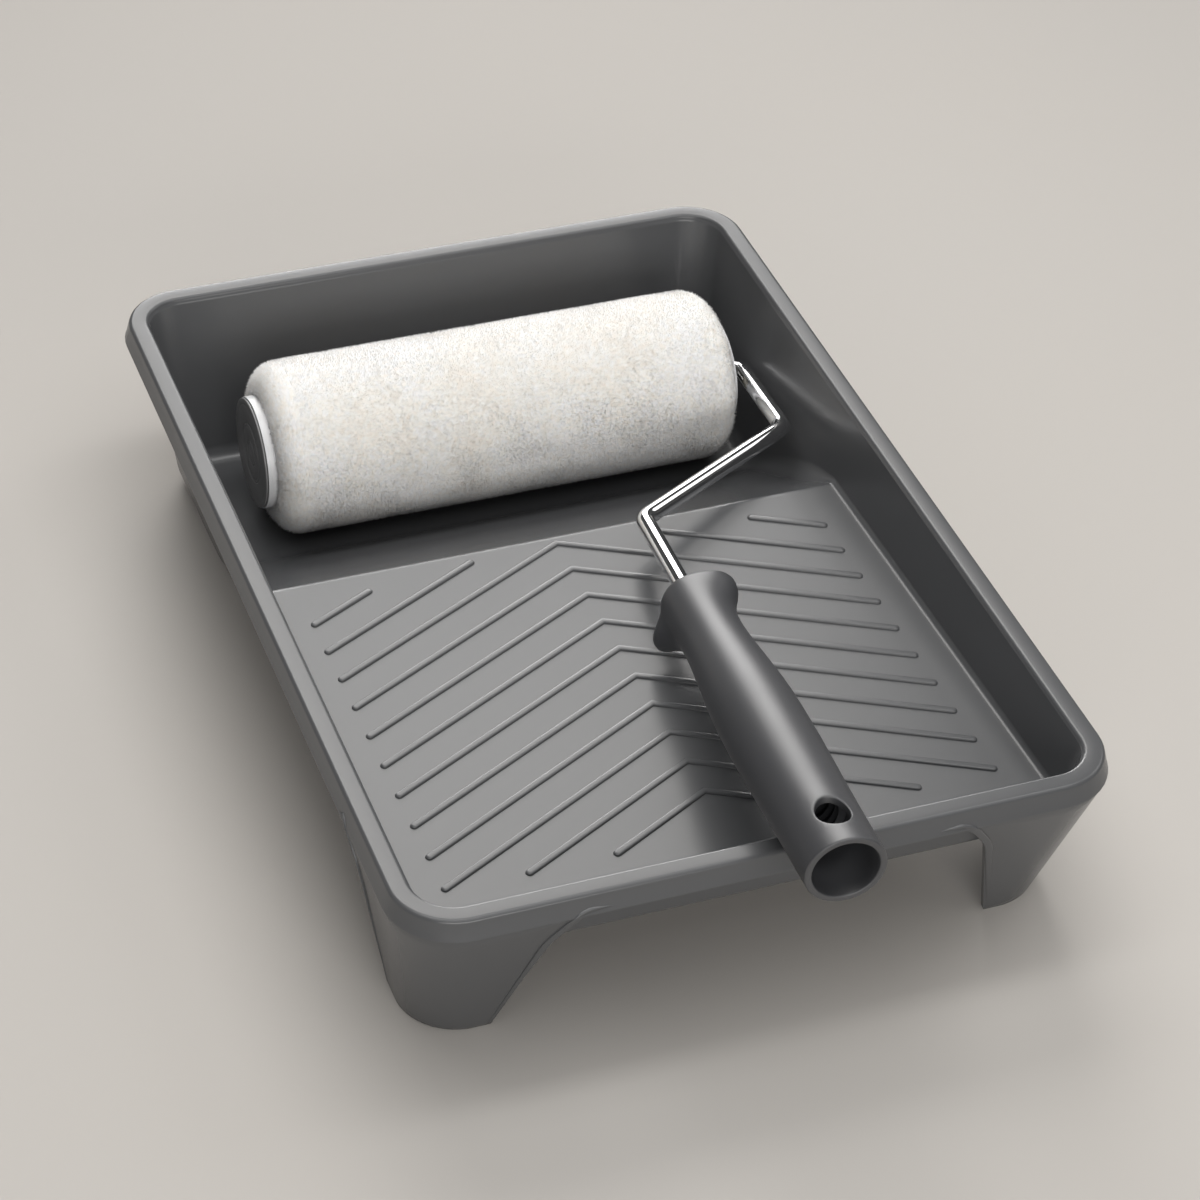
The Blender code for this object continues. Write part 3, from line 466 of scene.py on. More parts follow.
def tray_skin(sizes):
    """The whole moulding above its legs, as one closed skin."""
    def in_fillet(y):
        slope_share = np.interp(y, (-0.112, BED_FILLET_ENDS_Y, -0.070, -0.040, -0.02),
                                (0.0, 0.75, 1.0, 0.55, 0.0))
        base = sizes.bed_fillet if y < BED_FILLET_ENDS_Y else sizes.well_fillet
        return base + (sizes.slope_fillet - base) * slope_share

    inner_profile = upper_floor(14.0 * MM, sizes.crease_radius)
    outer_profile = lower_floor(16.0 * MM, sizes.crease_radius + 1.0 * MM)
    edge = sizes.rim_edge
    flare = atan(SKIRT_FLARE / SKIRT_DEPTH)

    # the rim from the inner edge outwards, as (offset, z)
    inner_edge = 1.7 * MM
    rim = arc((inner_edge - RIM_WIDTH, TRAY_HEIGHT - inner_edge), inner_edge, 172, 90, 6)
    centre_x = -(edge - edge * sin(flare)) / cos(flare)
    rim += arc((centre_x, TRAY_HEIGHT - edge), edge, 90, flare * 180 / pi, 9)
    low = TRAY_HEIGHT - SKIRT_DEPTH
    lip = 0.7 * MM
    rim += [(SKIRT_FLARE - 2 * lip * tan(flare), low + 2 * lip)]
    rim += arc((SKIRT_FLARE - lip, low + lip), lip, 10, -90, 5)
    rim += arc((SKIRT_FLARE - SKIRT_WALL + lip, low + lip), lip, -90, -180, 4)
    under = TRAY_HEIGHT - RIM_PLATE
    skirt_in = SKIRT_FLARE * (TRAY_HEIGHT - under) / SKIRT_DEPTH - SKIRT_WALL
    rim += [(skirt_in, under - 0.8 * MM), (skirt_in - 0.8 * MM, under)]
    loops = [rim_loop(a, z) for a, z in rim]

    def out_fillet(y):
        return in_fillet(y) + BASIN_WALL

    outer = basin_sheet(BASIN_WALL, under, outer_profile, out_fillet)
    inner = basin_sheet(0.0, TRAY_HEIGHT - inner_edge, inner_profile, in_fillet)
    stack = list(reversed(inner)) + loops + outer
    count = len(stack[0])
    vertices = [tuple(p) for ring in stack for p in ring]
    faces = grid_faces(len(stack), count, 0, True)
    fill_floor(vertices, faces, stack[0], 0, inner_profile, False)
    fill_floor(vertices, faces, stack[-1], (len(stack) - 1) * count, outer_profile, True)
    return vertices, faces


def fill_floor(vertices, faces, edge, start, profile, flip):
    """Close a floor's edge loop with rows of quads whose ends share the loop's points."""
    ys, zs = profile
    half = CORNER_STEPS // 2
    count = len(edge)
    side_count = len(SIDE_STATIONS) + 2 + 2 * half      # points from arc middle to arc middle
    end_count = count // 2 - side_count + 2
    right = [(i - half) % count for i in range(side_count)]
    far = [(right[-1] + i) % count for i in range(end_count)]
    left = [(far[-1] + i) % count for i in range(side_count)][::-1]
    near = [(left[0] + i) % count for i in range(end_count)]
    far = far[::-1]
    rows, columns = side_count, end_count
    index = np.zeros((rows, columns), int)
    near_points, far_points = edge[near], edge[far]
    share = (near_points[:, 0] - near_points[0, 0]) / (near_points[-1, 0] - near_points[0, 0])
    near_bulge = near_points - (near_points[0] + (near_points[-1] - near_points[0]) * share[:, None])
    far_bulge = far_points - (far_points[0] + (far_points[-1] - far_points[0]) * share[:, None])
    reach = 0.03
    for r in range(rows):
        a, b = edge[left[r]], edge[right[r]]
        near_weight = max(0.0, 1 - (a[1] - edge[left[0]][1]) / reach) ** 2
        far_weight = max(0.0, 1 - (edge[left[-1]][1] - a[1]) / reach) ** 2
        for c in range(columns):
            if r == 0:
                index[r, c] = start + near[c]
            elif r == rows - 1:
                index[r, c] = start + far[c]
            elif c == 0:
                index[r, c] = start + left[r]
            elif c == columns - 1:
                index[r, c] = start + right[r]
            else:
                p = a + (b - a) * share[c] + near_bulge[c] * near_weight + far_bulge[c] * far_weight
                p = (p[0], p[1], float(np.interp(p[1], ys, zs)))
                index[r, c] = len(vertices)
                vertices.append(p)
    for r in range(rows - 1):
        for c in range(columns - 1):
            quad = (index[r, c], index[r, c + 1], index[r + 1, c + 1], index[r + 1, c])
            faces.append(tuple(int(i) for i in (reversed(quad) if flip else quad)))


# ---------------------------------------------------------------- beads, by Geometry Nodes

def bead_tree():
    """Geometry Nodes: a raised bead with rounded ends along every line of a mesh."""
    tree = bpy.data.node_groups.new("bead_along_line", "GeometryNodeTree")
    tree.interface.new_socket("Geometry", in_out="INPUT", socket_type="NodeSocketGeometry")
    for label, value in (("Width", 3.2 * MM), ("Height", 2.4 * MM), ("Edge Radius", 1.0 * MM),
                         ("End Rounding", 1.6 * MM)):
        socket = tree.interface.new_socket(label, in_out="INPUT", socket_type="NodeSocketFloat")
        socket.default_value = value
    tree.interface.new_socket("Normal", in_out="INPUT", socket_type="NodeSocketVector")
    tree.interface.new_socket("Material", in_out="INPUT", socket_type="NodeSocketMaterial")
    tree.interface.new_socket("Geometry", in_out="OUTPUT", socket_type="NodeSocketGeometry")
    given = node(tree, "NodeGroupInput").outputs
    lines = node(tree, "GeometryNodeMeshToCurve", {"Mesh": given["Geometry"]})
    turned_up = node(tree, "GeometryNodeSetCurveNormal", {"Curve": lines.outputs["Curve"],
                                                          "Normal": given["Normal"]}, mode="FREE")
    section = node(tree, "GeometryNodeCurvePrimitiveQuadrilateral",
                   {"Width": given["Height"], "Height": given["Width"]}, mode="RECTANGLE")
    soft = node(tree, "GeometryNodeFilletCurve", {"Curve": section.outputs["Curve"], "Count": 4,
                                                  "Radius": given["Edge Radius"],
                                                  "Limit Radius": True}, mode="POLY")
    along = node(tree, "GeometryNodeSplineParameter").outputs["Length"]
    total = node(tree, "GeometryNodeSplineLength").outputs["Length"]
    rest = node(tree, "ShaderNodeMath", {0: total, 1: along}, operation="SUBTRACT")
    nearest = node(tree, "ShaderNodeMath", {0: along, 1: rest.outputs["Value"]}, operation="MINIMUM")
    part = node(tree, "ShaderNodeMath", {0: nearest.outputs["Value"], 1: given["End Rounding"]},
                operation="DIVIDE", use_clamp=True)
    back = node(tree, "ShaderNodeMath", {0: 1.0, 1: part.outputs["Value"]}, operation="SUBTRACT")
    square = node(tree, "ShaderNodeMath", {0: back.outputs["Value"], 1: 2.0}, operation="POWER")
    left = node(tree, "ShaderNodeMath", {0: 1.0, 1: square.outputs["Value"]}, operation="SUBTRACT")
    size = node(tree, "ShaderNodeMath", {0: left.outputs["Value"], 1: 0.5}, operation="POWER")
    floor_size = node(tree, "ShaderNodeMath", {0: size.outputs["Value"], 1: 0.05}, operation="MAXIMUM")
    swept = node(tree, "GeometryNodeCurveToMesh", {"Curve": turned_up.outputs["Curve"],
                                                   "Profile Curve": soft.outputs["Curve"],
                                                   "Scale": floor_size.outputs["Value"],
                                                   "Fill Caps": True})
    smooth = node(tree, "GeometryNodeSetShadeSmooth", {"Geometry": swept.outputs["Mesh"]})
    real = node(tree, "GeometryNodeRealizeInstances", {"Geometry": smooth.outputs["Geometry"]})
    dressed = node(tree, "GeometryNodeSetMaterial", {"Geometry": real.outputs["Geometry"],
                                                     "Material": given["Material"]})
    node(tree, "NodeGroupOutput", {"Geometry": dressed.outputs["Geometry"]})
    return tree


def run_tree(obj, tree, values):
    """Run a Geometry Nodes tree on an object and keep the result as its plain mesh."""
    modifier = obj.modifiers.new(tree.name, "NODES")
    modifier.node_group = tree
    for item in tree.interface.items_tree:
        if item.item_type == "SOCKET" and item.in_out == "INPUT" and item.name in values:
            modifier[item.identifier] = values[item.name]
    obj.update_tag()
    return as_plain_mesh(obj)


def line_object(name, lines):
    """A mesh of open lines, each a list of points."""
    vertices, edges = [], []
    for line in lines:
        first = len(vertices)
        vertices += [tuple(p) for p in line]
        edges += [(i, i + 1) for i in range(first, len(vertices) - 1)]
    mesh = bpy.data.meshes.new(name)
    mesh.from_pydata(vertices, edges, [])
    obj = bpy.data.objects.new(name, mesh)
    bpy.context.scene.collection.objects.link(obj)
    return obj


def with_round_ends(points, reach, steps=6):
    """The same line with extra points close to both ends, for a bead's rounded ends."""
    def eased(a, b):
        length = (b - a).length
        return [a + (b - a) * (reach * (1 - cos(0.5 * pi * i / steps)) / length)
                for i in range(1, steps + 1)]

    head = eased(points[0], points[1])
    tail = eased(points[-1], points[-2])
    return [points[0]] + head + points[1:-1] + tail[::-1] + [points[-1]]


def rib_lines():
    """Each rib's line: whole chevrons, then the short single arms nearest the well."""
    def at(x, y):
        return Vector((x, y, CREASE_Z + BED_FALL * (CREASE_Y - y)))

    ribs = []
    for index in range(RIB_FULL_COUNT):
        apex = RIB_FIRST_APEX_Y - index * RIB_PITCH
        span = min(RIB_HALF_SPAN, (apex - RIB_NEAR_Y) / RIB_SLOPE)
        end = apex - RIB_SLOPE * span
        ribs.append([at(-span, end), at(0.0, apex), at(span, end)])
    for index, start in enumerate(RIB_SHORT_STARTS):
        apex = RIB_FIRST_APEX_Y + (len(RIB_SHORT_STARTS) - index) * RIB_PITCH
        for side in (-1.0, 1.0):
            ribs.append([at(side * x, apex - RIB_SLOPE * x) for x in (start, RIB_HALF_SPAN)])
    return ribs


# ---------------------------------------------------------------- legs

def arch_points(sole, shoulder, crown, end):
    """One arch's edge from its sole to its crown, with both bends rounded."""
    line = [Vector((a, b, 0.0)) for a, b in (sole, shoulder, crown, end)]
    return rounded_line(line, (30.0 * MM, 10.0 * MM), 8)


def leg_at(z):
    """Half width, front and corner radius of the legs' outside at a height."""
    top = TRAY_HEIGHT - SKIRT_DEPTH
    share = min(z, top) / top
    tuck = max(0.0, z - top) * (SKIRT_FLARE / SKIRT_DEPTH + 0.04)
    return (LEG_SOLE_HALF_WIDTH + (LEG_TOP_HALF_WIDTH - LEG_SOLE_HALF_WIDTH) * share - tuck,
            LEG_SOLE_FRONT_Y + (LEG_TOP_FRONT_Y - LEG_SOLE_FRONT_Y) * share + tuck,
            LEG_SOLE_CORNER + (LEG_TOP_CORNER - LEG_SOLE_CORNER) * share - tuck)


def leg_sheet(name, material):
    """The outside of both legs and the band that joins them, before it gets its wall."""
    front = arch_points((ARCH_SOLE_X, 0.0), ARCH_SHOULDER, ARCH_CROWN, (0.0, ARCH_CROWN[1]))
    side = arch_points((SIDE_ARCH_SOLE_Y, 0.0), SIDE_ARCH_SHOULDER, SIDE_ARCH_CROWN,
                       (SIDE_ARCH_CROWN[0] + 0.02, SIDE_ARCH_CROWN[1]))
    front_x, front_z = [p.x for p in front][::-1], [p.y for p in front][::-1]
    side_y, side_z = [p.x for p in side], [p.y for p in side]
    columns = []                    # (kind, place, lower edge)
    for x in list(np.arange(0.0, 72.0, 8.0)) + list(np.arange(72.0, 102.5, 0.8)) + [102.49, 105.0]:
        low = float(np.interp(x * MM, front_x, front_z)) if x < 102.5 else 0.0
        columns.append(("front", x * MM, low))
    columns += [("arc", radians(270 + 90 * i / 16), 0.0) for i in range(17)]
    for y in [-308.0, -304.0, -301.01] + list(np.arange(-300.8, -285.0, 0.7)) + [-285.0]:
        low = float(np.interp(y * MM, side_y, side_z)) if y > -301.0 else 0.0
        columns.append(("side", y * MM, low))
    top = TRAY_HEIGHT - SKIRT_DEPTH
    rows = 22

    def point(column, share, mirror):
        kind, place, low = column
        z = low + (top + LEG_TUCK - low) * share
        if low < top - 2 * MM:      # most of the rows below the skirt, two above
            z = low + (top - low) * min(1.0, share / 0.92)
            z += LEG_TUCK * max(0.0, (share - 0.92) / 0.08)
        half, near, radius = leg_at(z)
        if kind == "front":
            x, y = place, near
        elif kind == "side":
            x, y = half, place
        else:
            x = half - radius + radius * cos(place)
            y = near + radius + radius * sin(place)
        return (mirror * x, y, z)

    whole = [(c, -1.0) for c in reversed(columns)] + [(c, 1.0) for c in columns[1:]]
    vertices = [point(c, r / (rows - 1), m) for r in range(rows) for c, m in whole]
    faces = grid_faces(rows, len(whole))
    return mesh_object(name, vertices, faces, material)


def lip_lines():
    """The raised lips along the arches, on the outside of the legs: each one's line and normal."""
    inset = 1.5 * MM
    front = arch_points((ARCH_SOLE_X + inset, 0.4 * MM),
                        (ARCH_SHOULDER[0] + inset, ARCH_SHOULDER[1]),
                        (ARCH_CROWN[0] + inset, ARCH_CROWN[1] + inset),
                        (60.0 * MM, ARCH_CROWN[1] + inset))
    side = arch_points((SIDE_ARCH_SOLE_Y - inset, 0.4 * MM),
                       (SIDE_ARCH_SHOULDER[0] - inset, SIDE_ARCH_SHOULDER[1]),
                       (SIDE_ARCH_CROWN[0] - inset, SIDE_ARCH_CROWN[1] + inset),
                       (SIDE_ARCH_CROWN[0] + 1 * MM, SIDE_ARCH_CROWN[1] + inset))
    front_lean = (LEG_SOLE_FRONT_Y - LEG_TOP_FRONT_Y) / (TRAY_HEIGHT - SKIRT_DEPTH)
    lips = []
    for mirror in (-1.0, 1.0):
        lips.append(([Vector((mirror * p.x, leg_at(p.y)[1], p.y)) for p in front],
                     (0.0, -1.0, -front_lean)))
        lips.append(([Vector((mirror * leg_at(p.y)[0], p.x, p.y)) for p in side],
                     (mirror, 0.0, -SIDE_LEAN)))
    return lips


# ---------------------------------------------------------------- round pieces

def turned(name, profile, material, steps=96):
    """A closed (radius, x) profile turned about the roller's axis."""
    rings = []
    for radius, x in profile:
        if radius < 1e-7:
            rings.append([(x, AXLE.y, AXLE.z)])
        else:
            rings.append([(x, AXLE.y + radius * cos(2 * pi * i / steps),
                           AXLE.z + radius * sin(2 * pi * i / steps)) for i in range(steps)])
    vertices, faces, starts = [], [], []
    for ring in rings:
        starts.append(len(vertices))
        vertices += ring
    for a in range(len(rings)):
        b = (a + 1) % len(rings)
        la, lb = len(rings[a]), len(rings[b])
        if la == 1 and lb == 1:
            continue
        for i in range(steps):
            j = (i + 1) % steps
            quad = [starts[a] + (i if la > 1 else 0), starts[a] + (j if la > 1 else 0),
                    starts[b] + (j if lb > 1 else 0), starts[b] + (i if lb > 1 else 0)]
            faces.append(tuple(dict.fromkeys(quad)))
    obj = mesh_object(name, vertices, faces, material)
    recalculate_normals(obj)
    return obj


def soften(profile, radius, steps=3):
    """Round every corner of a closed (radius, x) profile that is not on the axis."""
    points = [Vector((r, x, 0.0)) for r, x in profile]
    result = []
    count = len(points)
    for i, corner in enumerate(points):
        before, after = points[i - 1], points[(i + 1) % count]
        into, out = corner - before, after - corner
        if corner.x < 1e-7 or into.length < 1e-7 or out.length < 1e-7:
            result.append((corner.x, corner.y))
            continue
        cut = min(radius, 0.4 * into.length, 0.4 * out.length)
        a = corner - into.normalized() * cut
        b = corner + out.normalized() * cut
        for k in range(steps + 1):
            t = k / steps
            p = a * (1 - t) ** 2 + corner * (2 * t * (1 - t)) + b * t * t
            result.append((p.x, p.y))
    return result


def pile_outline(inset, steps=14):
    """(radius, x) of the pile's outside from the +X end to the -X end."""
    radius = PILE_RADIUS - inset
    length = PILE_SHOULDER_LENGTH - 0.3 * inset
    drop = PILE_SHOULDER_DROP - 0.5 * inset
    high, low = PILE_END_X - inset, PILE_START_X + inset
    points = []
    for k in range(steps + 1):
        angle = 0.5 * pi * k / steps
        points.append((radius - drop * (1 - sin(angle)), high - length * (1 - cos(angle))))
    middle = np.linspace(high - length, low + length, 60)[1:-1]
    points += [(radius, x) for x in middle]
    for k in range(steps, -1, -1):
        angle = 0.5 * pi * k / steps
        points.append((radius - drop * (1 - sin(angle)), low + length * (1 - cos(angle))))
    return points


def tuft_tree():
    """Geometry Nodes: leaning tufts of fibre scattered over a surface."""
    tree = bpy.data.node_groups.new("pile_tufts", "GeometryNodeTree")
    tree.interface.new_socket("Geometry", in_out="INPUT", socket_type="NodeSocketGeometry")
    tree.interface.new_socket("Tuft", in_out="INPUT", socket_type="NodeSocketObject")
    density = tree.interface.new_socket("Tufts per Area", in_out="INPUT",
                                        socket_type="NodeSocketFloat")
    density.default_value = 400000.0
    for label, value in (("Lean", 0.6), ("Swirl Size", 0.02), ("Shortest", 0.7), ("Longest", 1.15)):
        socket = tree.interface.new_socket(label, in_out="INPUT", socket_type="NodeSocketFloat")
        socket.default_value = value
    tree.interface.new_socket("Seed", in_out="INPUT", socket_type="NodeSocketInt")
    tree.interface.new_socket("Material", in_out="INPUT", socket_type="NodeSocketMaterial")
    tree.interface.new_socket("Geometry", in_out="OUTPUT", socket_type="NodeSocketGeometry")
    given = node(tree, "NodeGroupInput").outputs
    scattered = node(tree, "GeometryNodeDistributePointsOnFaces",
                     {"Mesh": given["Geometry"], "Density": given["Tufts per Area"],
                      "Seed": given["Seed"]}, distribute_method="RANDOM")
    position = node(tree, "GeometryNodeInputPosition").outputs["Position"]
    scale = node(tree, "ShaderNodeMath", {0: 1.0, 1: given["Swirl Size"]}, operation="DIVIDE")
    swirl = node(tree, "ShaderNodeTexNoise", {"Vector": position, "Scale": scale.outputs["Value"],
                                              "Detail": 2.0})
    centred = node(tree, "ShaderNodeVectorMath", {0: swirl.outputs["Color"], 1: (0.5, 0.5, 0.5)},
                   operation="SUBTRACT")
    strong = node(tree, "ShaderNodeVectorMath", {0: centred.outputs["Vector"], "Scale": 3.0},
                  operation="SCALE")
    stray = node(tree, "FunctionNodeRandomValue", {0: (-0.45, -0.45, -0.45), 1: (0.45, 0.45, 0.45),
                                                   "Seed": given["Seed"]}, data_type="FLOAT_VECTOR")
    drift = node(tree, "ShaderNodeVectorMath", {0: strong.outputs["Vector"], 1: stray.outputs[0]},
                 operation="ADD")
    lean = node(tree, "ShaderNodeVectorMath", {0: drift.outputs["Vector"], "Scale": given["Lean"]},
                operation="SCALE")
    way = node(tree, "ShaderNodeVectorMath",
               {0: lean.outputs["Vector"], 1: scattered.outputs["Normal"]}, operation="ADD")
    turn = node(tree, "FunctionNodeAlignRotationToVector", {"Vector": way.outputs["Vector"]}, axis="Z")
    spin = node(tree, "FunctionNodeRandomValue", {2: 0.0, 3: 2 * pi, "Seed": 7}, data_type="FLOAT")
    twist = node(tree, "FunctionNodeAxisAngleToRotation", {"Axis": (0.0, 0.0, 1.0),
                                                           "Angle": spin.outputs[1]})
    full = node(tree, "FunctionNodeRotateRotation", {"Rotation": turn.outputs["Rotation"],
                                                     "Rotate By": twist.outputs["Rotation"]},
                rotation_space="LOCAL")
    length = node(tree, "FunctionNodeRandomValue", {2: given["Shortest"], 3: given["Longest"],
                                                    "Seed": 11}, data_type="FLOAT")
    shape = node(tree, "GeometryNodeObjectInfo", {"Object": given["Tuft"]})
    placed = node(tree, "GeometryNodeInstanceOnPoints",
                  {"Points": scattered.outputs["Points"], "Instance": shape.outputs["Geometry"],
                   "Rotation": full.outputs["Rotation"], "Scale": length.outputs[1]})
    real = node(tree, "GeometryNodeRealizeInstances", {"Geometry": placed.outputs["Instances"]})
    dressed = node(tree, "GeometryNodeSetMaterial", {"Geometry": real.outputs["Geometry"],
                                                     "Material": given["Material"]})
    node(tree, "NodeGroupOutput", {"Geometry": dressed.outputs["Geometry"]})
    return tree


def tuft_shape(length, width):
    """One tuft: a three-sided spike along +Z, closed at its root."""
    vertices = [(0.5 * width * cos(2 * pi * i / 3), 0.5 * width * sin(2 * pi * i / 3), 0.0)
                for i in range(3)]
    vertices.append((0.0, 0.0, length))
    faces = [(2, 1, 0), (0, 1, 3), (1, 2, 3), (2, 0, 3)]
    mesh = bpy.data.meshes.new("tuft")
    mesh.from_pydata(vertices, [], faces)
    mesh.shade_smooth()
    obj = bpy.data.objects.new("tuft", mesh)
    bpy.context.scene.collection.objects.link(obj)
    return obj


# ---------------------------------------------------------------- frame and handle

def in_plane(x, t):
    """A point of the tilted plane, t along it from the roller's axis towards the front."""
    return Vector((x, AXLE.y - t * cos(TOOL_TILT), AXLE.z + t * sin(TOOL_TILT)))


def handle_axis_x(t):
    """Where the handle's axis is across the tray, at t along the tilted plane."""
    return HANDLE_REF[0] - HANDLE_DRIFT * (t - HANDLE_REF[1])


def handle_axes():
    """The handle's own axes: X across, Y up, Z along it towards its open end."""
    along = (in_plane(handle_axis_x(1.0), 1.0) - in_plane(handle_axis_x(0.0), 0.0)).normalized()
    up = Vector((0.0, sin(TOOL_TILT), cos(TOOL_TILT)))
    matrix = Matrix((up.cross(along), up, along)).transposed().to_4x4()
    matrix.translation = in_plane(handle_axis_x(0.0), 0.0)
    return matrix


def swept_tube(name, path, radius, material, sides=48):
    """A round bar along a path, closed at both ends."""
    count = len(path)
    tangents = [(path[min(i + 1, count - 1)] - path[max(i - 1, 0)]).normalized()
                for i in range(count)]
    across = tangents[0].orthogonal().normalized()
    vertices = []
    for point, tangent in zip(path, tangents):
        across = (across - tangent * across.dot(tangent)).normalized()
        other = tangent.cross(across)
        for k in range(sides):
            angle = 2 * pi * k / sides
            vertices.append(point + across * (radius * cos(angle)) + other * (radius * sin(angle)))
    faces = grid_faces(count, sides, 0, True)
    faces.append(tuple(reversed(range(sides))))
    faces.append(tuple(range((count - 1) * sides, count * sides)))
    obj = mesh_object(name, vertices, faces, material)
    recalculate_normals(obj)
    obj.data.set_sharp_from_angle(angle=radians(40.0))
    return obj


def smooth_sections(stations):
    """Handle radius, flare and guard at each station, on smooth curves through the sections."""
    table = np.array(HANDLE_SECTIONS)
    s = table[:, 0]
    result = []
    for column in (1, 2, 3):
        y = table[:, column]
        slope = np.diff(y) / np.diff(s)
        m = np.zeros(len(s))
        m[1:-1] = np.where(slope[:-1] * slope[1:] > 0,
                           2 * slope[:-1] * slope[1:] / (slope[:-1] + slope[1:] + 1e-12), 0.0)
        m[0], m[-1] = slope[0], slope[-1]
        k = np.clip(np.searchsorted(s, stations) - 1, 0, len(s) - 2)
        h = s[k + 1] - s[k]
        t = np.clip((stations - s[k]) / h, 0, 1)
        result.append((2 * t**3 - 3 * t**2 + 1) * y[k] + (t**3 - 2 * t**2 + t) * h * m[k]
                      + (-2 * t**3 + 3 * t**2) * y[k + 1] + (t**3 - t**2) * h * m[k + 1])
    return result


def handle_reach(angle, radius, flare, guard):
    """How far the handle's surface is from its axis at an angle."""
    side = max(0.0, cos(angle - FLARE_ANGLE)) ** 3
    finger = max(0.0, cos(angle - GUARD_ANGLE)) ** 12
    return radius + flare * FLARE_REACH * side + guard * GUARD_REACH * finger


# rings from the collar inwards to the rod: share of the collar's radius (None is the bore
# round the rod), distance towards the open end in mm
NOSE_RINGS = ((0.93, -0.35), (0.82, -0.5), (0.55, -0.2), (None, 0.6), (None, 2.5), (None, 8.0))
NOSE_BORE = 4.25 * MM
HOLE_ROUNDING = 0.8 * MM
HOLE_CELLS = 10                     # cells from the hang hole's middle to its edge
HOLE_MARGIN = 6                     # cells of even mesh kept beyond that edge
HOLE_MARGIN_FRONT = 2               # the same towards the open end, where there is less room
SIDE_CELLS = 26                     # cells round each side, between the top and the bottom
RIM_WALL_RADIUS = 15.6 * MM
RIM_LIP = 0.9 * MM
BORE_LIP = 0.7 * MM
FRONT_STATIONS = (192.5, 193.1, 194.2, 195.8, 197.6, 200.0, 202.5, 205.5, 208.5, 212.0, 216.0, 221.0,
                  227.0, 234.0, 241.0, 251.0, 262.0, 273.0, 284.0, 295.0, 306.0, 318.0, 330.0, 343.0,
                  354.0)


def outer_radius(s, angle=None):
    """The handle's radius at a distance along its axis, with its lobes if an angle is given."""
    radius, flare, guard = (float(v[0]) for v in smooth_sections(np.array([s])))
    return radius if angle is None else handle_reach(angle, radius, flare, guard)


def socket_radius(s, angle=None):
    """The same for the socket, which is round and straight."""
    return SOCKET_RADIUS


def round_the_hole(a, b):
    """Bend square rings of cells round the hang hole into ovals that fade back to squares."""
    size = max(abs(a), abs(b))
    if size < 1 - 1e-6:
        return a, b
    length = hypot(a, b)
    ahead = (b - 1) / 0.2 if b > 0 else (-b - 1) / 0.6
    keep = max(0.0, 1 - max((abs(a) - 1) / 0.6, ahead, 0.0))
    keep = keep * keep * (3 - 2 * keep)
    return a + (a / length * size - a) * keep, b + (b / length * size - b) * keep


